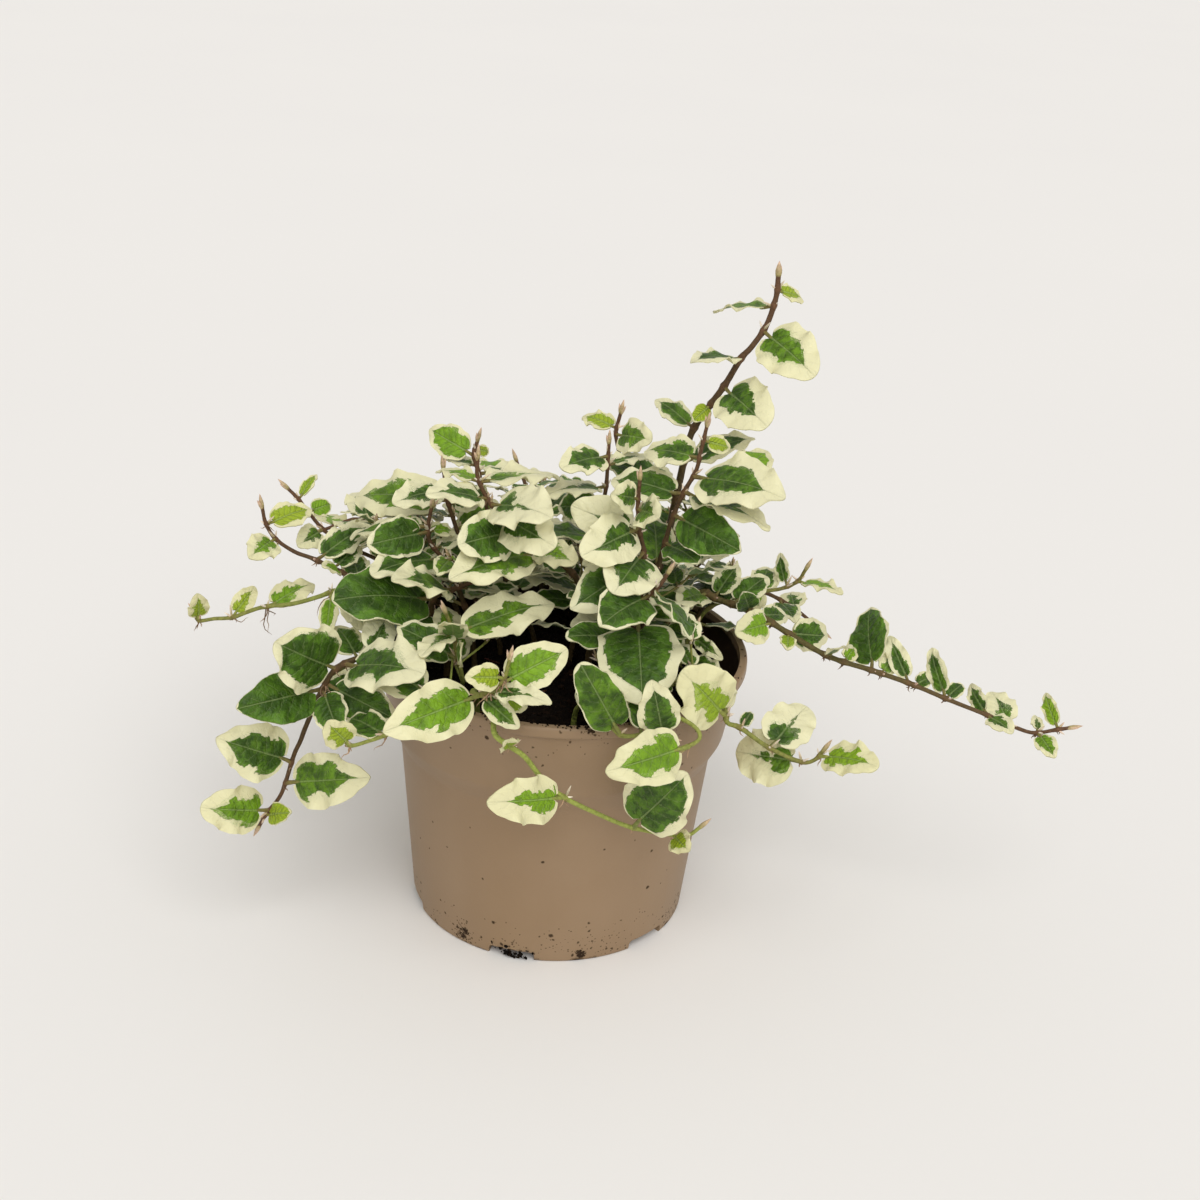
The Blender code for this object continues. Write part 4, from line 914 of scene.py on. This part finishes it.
def in_crown(leaf):
    """Whether the leaf lies in the middle of the plant, but in no dark gap where the photograph shows soil."""
    low, high = CROWN_HEIGHTS
    for spot in [blade_point(leaf, *mark) for mark in CROWN_MARKS]:
        if any((spot - Vector(gap)).cross(AWAY_FROM_CAMERA).length < reach for gap, reach in DARK_GAPS):
            return False
        if (spot.xy - CROWN_MIDDLE).length >= CROWN_RADIUS or spot.y <= CROWN_FRONT or not low < spot.z < high:
            return False
    return True


def try_sprig(owner, share):
    """A short side shoot with its leaves, if its stem and at least two of its leaves are clear of all else."""
    spot, ahead = along_stem(STEMS[owner], share)
    heading, rise = draw.uniform(0, math.tau), math.radians(draw.uniform(*SPRIG_RISES))
    way = (around(math.cos(rise), heading, math.sin(rise)) + ahead * SPRIG_LEAN).normalized()
    length = draw.uniform(*SPRIG_LENGTHS)
    bent = spot + way * length * SPRIG_BEND - UP * SPRIG_SAG
    end = bent + (way + UP * SPRIG_LIFT).normalized() * length * (1 - SPRIG_BEND)
    points = [spot, spot + way * SPRIG_STRAIGHT, bent, end]
    tube = Obstacle(owner, bare_stem({**SPRIG_LOOK, "points": points[1:]}))
    if any(tube.meets(other) for other in obstacles):
        return None
    before = len(obstacles)
    obstacles.append(tube)
    lead = math.degrees(math.atan2(way.y, way.x))
    count = max(2, round(length / SPRIG_LEAF_PITCH))
    found = []
    for i in range(count):
        side = SIDE_ANGLE if i % 2 else -SIDE_ANGLE
        size = draw.uniform(*SPRIG_LEAVES) * (1 - 0.3 * i / count)
        row = ((i + 0.8) / count, lead + side * draw.uniform(0.6, 1.0), draw.uniform(*RISES) + SPRIG_LEAF_RISE,
               draw.uniform(*ROLLS), size, draw.uniform(*BREADTHS), draw.uniform(0.05, 0.7),
               max(0.0, draw.uniform(-0.6, 0.7)))
        leaf = place_leaf(owner, {"points": points}, row, draw.random(), SPRIG_TIGHT_NUDGES)
        if leaf and in_crown(leaf) and not hides_a_leaf([blade_point(leaf, *mark) for mark in SEEN_MARKS]):
            found.append(leaf)
        elif leaf:
            obstacles.pop()
    if len(found) > 1:
        last = found[-1]["node"]
        kept = [point for point in points[:-1] if (point - spot).length < (last - spot).length - 1]
        kept.append(last + (last - kept[-1]).normalized())
        if not hides_a_leaf(kept[1:]):
            return {**SPRIG_LOOK, "points": kept, "leaves": found}
    del obstacles[before:]
    return None


def side_shoots(name, stem):
    """Side shoots along the stem, a pitch apart, in the middle of the plant."""
    first, last = SPRIG_SHARES
    count = int(legs_of(stem)[1] * (last - first) / SPRIG_PITCH)
    found = []
    for i in range(count):
        share = first + (last - first) * (i + draw.random()) / count
        for _ in range(SPRIG_TRIES):
            sprig = try_sprig(name, share)
            if sprig:
                found.append(sprig)
                break
    return found


obstacles = []
for part in ("pot", "soil"):
    solid = bmesh.new()
    solid.from_mesh(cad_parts[part].data)
    obstacles.append(Obstacle(part, solid))
obstacles += [Obstacle(name, bare_stem(stem)) for name, stem in STEMS.items()]
bare = len(obstacles)
draw, look = random.Random(SEED), random.Random(SEED + 1)
leaves_of = {}
for name, stem in STEMS.items():
    leaves_of[name] = [place_leaf(name, stem, row, draw.random()) for row in stem["leaves"]]
shown = obstacles[bare:]
for name, stem in STEMS.items():
    if "fill" in stem:
        leaves_of[name] += [place_leaf(name, stem, row, draw.random()) for row in fill_rows(stem)]
draw = random.Random(SEED + 2)
sprigs_of = {name: side_shoots(name, stem) for name, stem in STEMS.items()}
for name, row in MORE_LEAVES:
    leaves_of[name].append(place_leaf(name, STEMS[name], row, row[0], SPRIG_TIGHT_NUDGES))
leaves_of = {name: [leaf for leaf in found if leaf] for name, found in leaves_of.items()}

# Wood, buds, stipules and rootlets
# Wiry stems, brown and woody on the shoots and still green on the runners, thicker at each node. Every stem ends
# in a pointed bud wrapped in two pinkish stipules, and the runners send tufts of rootlets from their nodes.
STEM_PITCH = 1.1
STEM_SIDES = 9
SLIMMER = 0.72
NODE_SWELL = 0.26
NODE_REACH = 1.1
WOBBLE = 0.05
WOBBLE_PITCH = 2.5
YOUNG_WOOD_FROM = 0.55
WOODY = 0.95
WOODINESS = {
    "front_right_runner": 0.1, "front_left_shoot": 0.25, "front_runner": 0.0, "short_right_runner": 0.35,
    "left_front_runner": 0.1, "left_runner": 0.3, "front_centre_shoot": 0.2, "low_left_sprig": 0.4,
    "right_side_shoot": 0.5, "back_left_runner": 0.2, "back_right_runner": 0.2, "right_trailing_stem": 0.85,
}
ROOTLETS = {
    "left_runner": (5, 12, 0.4), "right_trailing_stem": (9, 3.2, 0.0), "front_runner": (4, 5, 0.8),
    "short_right_runner": (5, 4.5, 0.5), "left_front_runner": (7, 7, 0.7), "front_left_shoot": (7, 7, 0.8),
    "lower_left_shoot": (6, 6, 0.6), "front_right_runner": (4, 5, 0.8), "back_left_runner": (5, 6, 0.5),
    "back_right_runner": (5, 6, 0.5), "left_shoot": (5, 4, 0.4), "thick_left_shoot": (6, 3, 0.3),
    "arching_left_shoot": (4, 3, 0.3), "low_left_sprig": (4, 4, 0.5),
}
ROOTLET_STEPS = 6
ROOTLET_SIDES = 5
ROOTLET_THICK = (0.13, 0.2)
BUD_ROUND = ((0.15, 0.70), (0.4, 0.74), (0.7, 0.46), (0.9, 0.18), (1, 0))
STIPULE_STEPS = 7
STIPULE_SIDES = 6
STIPULE_SHARES = (0.22, 0.78)
STIPULES_LAST = 22
GREENISH = 0.4
OLD_STIPULES = 0.7
LONG_STIPULE = ((2.6, 4.8), 0.4)
SHORT_STIPULE = ((1.8, 3.6), 0.36)
OLD_STIPULE = ((1.4, 2.4), 0.5)
STALK_THICK = (0.38, 0.014)
STALK_ROUND = ((0, 1.15), (0.2, 1), (0.4, 0.9), (0.6, 0.85), (0.8, 0.8), (0.92, 0.6), (1, 0))
BROWN_WOOD = (0.056, 0.027, 0.010)
GREEN_WOOD = (0.30, 0.35, 0.07)
YOUNG_WOOD = (0.115, 0.056, 0.027)
BUD_SCALE = (0.68, 0.46, 0.35)
PALE_SCALE = (0.78, 0.69, 0.56)
BUD_BASE = (0.36, 0.30, 0.12)
PALE_ROOT = (0.46, 0.30, 0.18)
DARK_ROOT = (0.045, 0.020, 0.008)
STALK_GREEN = (0.17, 0.19, 0.05)
STALK_YOUNG = (0.32, 0.36, 0.07)
STALK_BROWN = (0.16, 0.075, 0.035)
BARK_RELIEF = 0.00025


def mixed(first, second, share):
    return tuple(Vector(first).lerp(Vector(second), share))


def smooth_route(points, pitch):
    """Points a pitch apart on a smooth curve through the given ones."""
    ends = [2 * points[0] - points[1], *points, 2 * points[-1] - points[-2]]
    made = []
    for before, start, end, after in zip(ends, ends[1:], ends[2:], ends[3:]):
        count = max(1, math.ceil((end - start).length / pitch))
        pull, push = (end - before) / 2, (after - start) / 2
        for i in range(count):
            t = i / count
            lean = start * (2 * t**3 - 3 * t**2 + 1) + end * (3 * t**2 - 2 * t**3)
            made.append(lean + pull * (t**3 - 2 * t**2 + t) + push * (t**3 - t**2))
    return made + [points[-1]]


def add_tube(points, radii, sides, colours):
    """A closed round rod along the points, with a radius and a colour at each; its last radius closes it."""
    grid = bmesh.ops.create_grid(bm, x_segments=sides, y_segments=len(points) - 1, size=1)["verts"]
    ways = [(b - a).normalized() for a, b in zip([points[0], *points], [*points[1:], points[-1]])]
    across = []
    side = ways[0].orthogonal().normalized()
    for way in ways:
        side = (side - way * side.dot(way)).normalized()
        across.append((side, way.cross(side)))
    for vertex in grid:
        turn = math.pi * (vertex.co.x + 1)
        i = round((vertex.co.y + 1) / 2 * (len(points) - 1))
        first, second = across[i]
        spot = points[i] + (first * math.cos(turn) + second * math.sin(turn)) * radii[i]
        vertex.co = spot * MM
        vertex[tint] = (*colours[i], 1)
        for face in vertex.link_faces:
            face.material_index = 1
    bmesh.ops.remove_doubles(bm, verts=grid, dist=MERGE)


def rod_colours(count, first, last):
    return [mixed(first, last, i / (count - 1)) for i in range(count)]


def wander(way, spread):
    """A direction near this one."""
    return (way + Vector([draw.uniform(-spread, spread) for _ in range(3)])).normalized()


def add_stipule(start, way, length, width, colours):
    """A slender pointed stipule: widest near its foot, closed at its point."""
    shares = [i / (STIPULE_STEPS - 1) for i in range(STIPULE_STEPS)]
    points = [start + way * length * share for share in shares]
    start_share, rest = STIPULE_SHARES
    radii = [width * max(0.0, math.sin(math.pi * (start_share + rest * share))) ** 0.8 for share in shares]
    add_tube(points, radii, STIPULE_SIDES, rod_colours(STIPULE_STEPS, *colours))


def add_wood(stem, leaves, woody):
    """The stem with its nodes, bud and stipules; returns its points and where its nodes are on them."""
    points = smooth_route(stem_points(stem), STEM_PITCH)
    end = points[-1]
    slim = stem.get("slim", 1)
    bud_length = BUD_LENGTH * min(slim, 1)
    nodes = {min(range(len(points)), key=lambda i: (points[i] - leaf["node"]).length) for leaf in leaves}
    base = mixed(GREEN_WOOD, BROWN_WOOD, woody)
    tip = mixed(GREEN_WOOD, YOUNG_WOOD, min(1, woody + 0.2))
    radii, colours = [], []
    for i, point in enumerate(points):
        share = i / (len(points) - 1)
        nearest = min((abs(i - n) * STEM_PITCH for n in nodes), default=9)
        swell = NODE_SWELL * math.exp(-((nearest / NODE_REACH) ** 2))
        wobble = WOBBLE * noise.noise(point / WOBBLE_PITCH)
        thick = stem["thick"] + (TIP_THICKNESS - stem["thick"]) * share
        radii.append(thick * (SLIMMER + swell + wobble) * slim)
        aged = mixed(base, tip, max(0.0, share - YOUNG_WOOD_FROM) / (1 - YOUNG_WOOD_FROM))
        colours.append(mixed(aged, STALK_BROWN, 1.6 * swell if woody > 0.2 else 0.8 * swell))
    way = (end - points[-2]).normalized()
    bud = [end + way * bud_length * share for share, _ in BUD_ROUND]
    radii += [size * slim for _, size in BUD_ROUND]
    colours += rod_colours(len(BUD_ROUND), BUD_BASE, BUD_SCALE)
    add_tube(points + bud, [0] + radii[1:], STEM_SIDES, colours)
    for _ in range(2):
        add_stipule(end - way * 0.5, wander(way, 0.35), bud_length * 0.8, 0.5 * slim, (BUD_BASE, BUD_SCALE))
    for leaf in leaves:
        spot, ahead = leaf["node"], leaf["axes"][0]
        if (spot - end).length < STIPULES_LAST or woody < GREENISH:
            lean = wander(way + ahead * 0.6, 0.5)
            pale = mixed(BUD_SCALE, PALE_SCALE, draw.random())
            add_stipule(spot, lean, draw.uniform(*LONG_STIPULE[0]), LONG_STIPULE[1], (BUD_BASE, pale))
            lean = wander(way - ahead * 0.9, 0.5)
            add_stipule(spot, lean, draw.uniform(*SHORT_STIPULE[0]), SHORT_STIPULE[1], (pale, PALE_SCALE))
        elif draw.random() < OLD_STIPULES:
            lean = wander(way - ahead * 0.7, 0.4)
            add_stipule(spot, lean, draw.uniform(*OLD_STIPULE[0]), OLD_STIPULE[1], (BROWN_WOOD, BUD_SCALE))
    return points, nodes


def add_rootlets(name, points, nodes):
    """Tufts of thin, wandering roots that hang from the nodes of a runner."""
    count, longest, paleness = ROOTLETS.get(name, (0, 0, 0))
    for i in sorted(nodes):
        for _ in range(draw.randint(count // 3, count)):
            route = [points[i] + Vector([draw.uniform(-0.5, 0.5) for _ in range(3)])]
            way = wander(-UP, 0.7)
            length = longest * (0.2 + 0.8 * draw.random() ** 1.6)
            for _ in range(ROOTLET_STEPS):
                route.append(route[-1] + way * length / ROOTLET_STEPS)
                way = wander(way, 0.6)
            thick = draw.uniform(*ROOTLET_THICK) + 0.25 / (1 + length)
            radii = [thick * (1 - (step / ROOTLET_STEPS) ** 3) for step in range(ROOTLET_STEPS + 1)]
            shade = mixed(DARK_ROOT, PALE_ROOT, min(1, paleness * draw.uniform(0.3, 1.5)))
            colours = rod_colours(ROOTLET_STEPS + 1, shade, mixed(shade, PALE_ROOT, 0.4))
            add_tube(route, radii, ROOTLET_SIDES, colours)


def add_stalk(leaf, points, woody):
    """The leaf's short stalk, from inside the stem to under the base of its blade."""
    start = min(points, key=lambda point: (point - leaf["node"]).length)
    ahead, _, face = leaf["axes"]
    end = leaf["base"] + ahead * 0.05 * leaf["length"] - face * 0.25
    bend = leaf["base"] - ahead * leaf["stalk"] * 0.4 - face * 0.15
    route = [start.lerp(bend, t).lerp(bend.lerp(end, t), t) for t, _ in STALK_ROUND]
    thick = STALK_THICK[0] + STALK_THICK[1] * leaf["length"]
    green = mixed(STALK_GREEN, STALK_YOUNG, leaf["young"])
    colours = rod_colours(len(route), mixed(green, STALK_BROWN, 0.8 * woody), green)
    add_tube(route, [thick * size for _, size in STALK_ROUND], len(route), colours)


def stem_bark():
    """The stems' skin: its own tint, streaked, with pale pores."""
    made, tree, shader, place = new_material("stem_bark")
    own = marked(tree, "tint", "Color")
    streaks = clouds(place, 900, 5, Roughness=0.65)
    pores, _ = cells(place, 800)
    streaked = scaled(own, ranged(streaks, 0.72, 1.28, 0.3, 0.7))
    colour = blend(step_up(pores, 0.2, 0.08) * 0.3, streaked, scaled(own, 2.2))
    feed(shader, Base_Color=colour, Roughness=0.66, Specular_IOR_Level=0.3)
    give_relief(shader, streaks - pores, BARK_RELIEF)
    return made


# Leaf blades
# Leathery ovate leaves, heart-shaped at the foot. The green tissue is a toothed patch that ends along the side
# veins, and the cream tissue round it grows slower, so that it puckers the margin into small waves.
FINE_GRIDS = ((23, 14, 36), (12, 12, 26), (0, 8, 14))
FINE_BLADE = 0.34
SIDE_VEINS = 6.5
VEIN_LEAN = 0.27
OLD_GREEN = (0.027, 0.062, 0.007, 1)
MID_GREEN = (0.128, 0.265, 0.025, 1)
NEW_GREEN = (0.250, 0.460, 0.020, 1)
BUD_GREEN = (0.400, 0.510, 0.030, 1)
VEIN_GREEN = (0.360, 0.460, 0.180, 1)
CREAM = (0.850, 0.818, 0.540, 1)
YOUNG_CREAM = (0.800, 0.760, 0.420, 1)
UNDER_GREEN = (0.170, 0.250, 0.110, 1)
UNDER_VEIN = (0.400, 0.450, 0.220, 1)
GLOW_GREEN = (0.250, 0.450, 0.060, 1)
GLOW_CREAM = (0.850, 0.800, 0.420, 1)
GLOW = 0.19
VEIN_RELIEF = 0.00032
VEIN_NET = 850
DOME = 0.09
TIP_DROP = 0.035
BUMPS = (0.034, 0.020)
PUCKERS = (0.027, 0.009)


def round_outline(share, blunt):
    """The outline with a rounder tip and foot, the more so the blunter the leaf."""
    return math.sin(math.pi * share**0.66) ** (0.68 - 0.24 * blunt) if share < 1 else 0.0


def fine_point(leaf, side, share):
    """A point of the blade as it is: the plain blade, domed, with a wavier margin and its tip bent down."""
    phase, length = leaf["phase"], leaf["length"]
    plain = leaf["half"] * outline(share)
    half = leaf["half"] * round_outline(share, phase * 7 % 1)
    turn = math.tau * phase
    wavy = BUMPS[0] * math.sin(17 * share + 3 * turn + 2 * (side > 0))
    wavy += BUMPS[1] * math.sin(31 * share + 5 * turn + 2 * side)
    edge = abs(side) ** 3
    rim = math.sqrt(max(0.0, math.sin(math.pi * min(share, 1))))
    tight = length * edge * rim * (0.7 + leaf["cream"])
    waves = PUCKERS[0] * math.sin(22 * share + 4 * turn + 1.3 * side)
    pucker = tight * (waves + PUCKERS[1] * math.sin(41 * share + 9 * turn - 2 * side))
    dome = -DOME * half * side**2
    tip = -TIP_DROP * length * share**5
    ahead_axis, left_axis, face_axis = leaf["axes"]
    wider = side * (half - plain + half * wavy * edge)
    return blade_point(leaf, side, share) + left_axis * wider + face_axis * (pucker + dome + tip)


def add_blade(leaf):
    """The blade as a thin closed sheet, each vertex marked with its place on it and the leaf's looks."""
    columns, rows = next((x, y) for shortest, x, y in FINE_GRIDS if leaf["length"] >= shortest)
    grid = bmesh.ops.create_grid(bm, x_segments=columns, y_segments=rows, size=1)["verts"]
    face_axis = leaf["axes"][2]
    for vertex in grid:
        side = math.copysign(abs(vertex.co.x) ** 1.15, vertex.co.x)
        share = (1 - math.cos(math.pi * (vertex.co.y + 1) / 2)) / 2
        spot = leaf["base"] if share < 0.0001 else fine_point(leaf, side, min(share, 1))
        vertex.co = (spot + face_axis * FINE_BLADE / 2) * MM
        vertex[on_blade] = (side, share, leaf["half"])
        vertex[looks] = (leaf["cream"], leaf["young"], leaf["phase"])
    faces = list({face for vertex in grid for face in vertex.link_faces})
    lower = thickened(bm, faces, face_axis * -FINE_BLADE * MM)
    for vertex in lower:
        side, share, half = vertex[on_blade]
        vertex[on_blade] = (side, share, -half)
    both = [vertex for vertex in grid if vertex.is_valid] + lower
    bmesh.ops.remove_doubles(bm, verts=both, dist=MERGE)
    closed = list({face for vertex in both if vertex.is_valid for face in vertex.link_faces})
    bmesh.ops.recalc_face_normals(bm, faces=closed)


def leaf_blade():
    """Variegated leaf: a green patch with teeth along the side veins, cream round it, and veins in relief."""
    made, tree, shader, place = new_material("leaf_blade")
    side, share, half = parts(marked(tree, "on_blade", "Vector"))
    cream, young, phase = parts(marked(tree, "looks", "Vector"))
    out, left, upper = abs(side), side > 0, half > 0

    def chance(number, salt):
        """A random number for each whole number, on each half of each leaf."""
        vector = Value(node(tree, "CombineXYZ", X=number, Y=left + salt, Z=phase * 91.7))
        return Value(node(tree, "TexWhiteNoise", {"noise_dimensions": "3D"}, Vector=vector), "Value")

    def sector(count):
        """The number of the strip along the side veins, with this many strips to a leaf."""
        return sums("FLOOR", leaning * count)

    broad = clouds(place, 230, 4, Roughness=0.6)
    crinkle = clouds(place, 420, 3, Roughness=0.55, Distortion=0.8)
    jitter = (clouds(place, 900, 3) - 0.5) * 0.10
    leaning = share - out * VEIN_LEAN + jitter
    cut = cream * (chance(sector(SIDE_VEINS), 0) * 0.75 + 0.43)
    cut = cut + chance(sector(SIDE_VEINS * 3.3), 7) * (cream * 0.16 + 0.03)
    cut = cut * (step_up(share, 0.02, 0.34) * 0.5 + 0.5) - jitter * 0.5
    to_tip = 1.0 - cream * (chance(0.0, 3) * 0.30 + 0.22) - share
    narrowing = sums("MINIMUM", larger(to_tip * (2.1 / (cream + 0.10)), 0.0), 1.0)
    bound = (1.0 - cut) * narrowing
    green = step_up(bound - out, -0.012, 0.012)

    inner = bound * (chance(sector(SIDE_VEINS * 1.6), 11) * 0.6 + 0.45) - out
    blotch = step_up(broad, 0.38, 0.66) + crinkle * 0.5
    old = blend(step_up(inner, 0.03, -0.03) * 0.45 + blotch * 0.42, OLD_GREEN, MID_GREEN)
    fresh = blend(step_up(young, 0.55, 1.0), NEW_GREEN, BUD_GREEN)
    top_green = blend(step_up(young + (blotch - 0.8) * 0.22, 0.0, 0.7), old, fresh)
    soft_cream = blend(young * 0.7, CREAM, YOUNG_CREAM)
    soft_cream = blend(step_up(broad, 0.55, 0.8) * 0.25, soft_cream, YOUNG_CREAM)

    reach = out * sums("SINE", share**OUTLINE_SKEW * math.pi) ** OUTLINE_FULLNESS * abs(half)
    midrib = step_up(reach - (share * -0.22 + 0.34), 0.12, -0.08)
    cycle = abs(sums("FRACT", leaning * SIDE_VEINS) - 0.5)
    ribs = step_up(cycle, 0.09, 0.02) * step_up(out, 0.95, 0.6)
    net = node(tree, "TexVoronoi", {"feature": "DISTANCE_TO_EDGE"}, Vector=place, Scale=VEIN_NET)
    net = Value(net, "Distance")
    veins = larger(midrib, ribs * 0.5)
    seen = larger(veins, step_up(net, 0.10, 0.02) * 0.35)

    top = blend(green, soft_cream, blend(veins * 0.4, top_green, VEIN_GREEN))
    low_green = blend(young * 0.6, blend(seen * 0.7, UNDER_GREEN, UNDER_VEIN), NEW_GREEN)
    low = blend(green, blend(seen * 0.5, soft_cream, UNDER_VEIN), low_green)
    rough = ranged(broad - upper * 0.35, 0.36, 0.62, 0.1, 0.7)
    feed(shader, Base_Color=blend(upper, low, top), Roughness=rough, Specular_IOR_Level=0.27)
    sunk = (net * 0.5 + cycle * 1.6 * (1.0 - out) - veins + crinkle * 3.2) * (green * 0.7 + 0.3)
    give_relief(shader, sunk * (upper * 2.0 - 1.0), VEIN_RELIEF)
    glow = node(tree, "BsdfTranslucent", Color=blend(green, GLOW_CREAM, GLOW_GREEN))
    both = node(tree, "MixShader", Fac=GLOW, i1=Value(shader), i2=Value(glow))
    feed(tree.nodes["Material Output"], Surface=Value(both))
    return made


bark, blade = stem_bark(), leaf_blade()
draw = random.Random(11)
for name, leaves in leaves_of.items():
    bm = bmesh.new()
    tint = bm.verts.layers.float_color.new("tint")
    on_blade = bm.verts.layers.float_vector.new("on_blade")
    looks = bm.verts.layers.float_vector.new("looks")
    woody = WOODINESS.get(name, WOODY)
    points, nodes = add_wood(STEMS[name], leaves, woody)
    add_rootlets(name, points, nodes)
    for leaf in leaves:
        add_stalk(leaf, points, woody)
    for sprig in sprigs_of[name]:
        points, _ = add_wood(sprig, sprig["leaves"], woody * 0.7)
        for leaf in sprig["leaves"]:
            add_stalk(leaf, points, woody * 0.5)
    bmesh.ops.recalc_face_normals(bm, faces=bm.faces)
    for leaf in leaves + [leaf for sprig in sprigs_of[name] for leaf in sprig["leaves"]]:
        add_blade(leaf)
    foliage = add_piece(f"{name}_foliage", bm, [blade, bark], name)

# The set
# A seamless sheet of white paper under an even white sky, with one broad soft light from above the front. The
# camera looks down at 24 degrees from 60 cm away, rolled by nearly 4 degrees as the photograph is.
FLOOR_SIZE = 12000
PAPER = (0.82, 0.80, 0.775, 1)
PALE_PAPER = (0.84, 0.82, 0.79, 1)
SKY = (1.0, 0.985, 0.965, 1)
SKY_STRENGTH = 0.58
HORIZON_STRENGTH = 0.86
KEY_STRENGTH = 1.95
KEY_SPREAD = 51.566
KEY_FROM = (0.18, -0.80, 0.88)
CAMERA_PLACE = (11.47, -524.71, 339.15)
CAMERA_PITCH = 23.83
CAMERA_ROLL = 3.83
LENS = 54
NEAREST_SEEN = 10


def paper():
    """Matt white paper with a very faint mottle."""
    made, tree, shader, place = new_material("white_paper")
    feed(shader, Base_Color=blend(clouds(place, 3, 2), PAPER, PALE_PAPER), Roughness=0.9)
    return made


floor_shape = bmesh.new()
bmesh.ops.create_grid(floor_shape, x_segments=1, y_segments=1, size=FLOOR_SIZE * MM)
floor = added("paper_floor", mesh_of("paper_floor", floor_shape))
floor.data.materials.append(paper())

sky = bpy.data.worlds.new("studio")
sky.use_nodes = True
tree = sky.node_tree
near_horizon = step_up(abs(parts(Value(node(tree, "TexCoord"), "Generated"))[2]), 0.22, 0.02)
feed(tree.nodes["Background"], Color=SKY, Strength=ranged(near_horizon, SKY_STRENGTH, HORIZON_STRENGTH))
bpy.context.scene.world = sky
key = bpy.data.lights.new("key", "SUN")
key.energy = KEY_STRENGTH
key.angle = math.radians(KEY_SPREAD)
added("key", key).rotation_euler = (-Vector(KEY_FROM)).to_track_quat("-Z", "Y").to_euler()

lens = bpy.data.cameras.new("camera")
lens.lens = LENS
lens.clip_start = NEAREST_SEEN * MM
camera = added("camera", lens)
pitch, roll = math.radians(90 - CAMERA_PITCH), math.radians(CAMERA_ROLL)
turned = Matrix.Rotation(pitch, 4, "X") @ Matrix.Rotation(roll, 4, "Z")
camera.matrix_world = Matrix.Translation(Vector(CAMERA_PLACE) * MM) @ turned
bpy.context.scene.camera = camera
bpy.context.scene.view_settings.view_transform = "Standard"
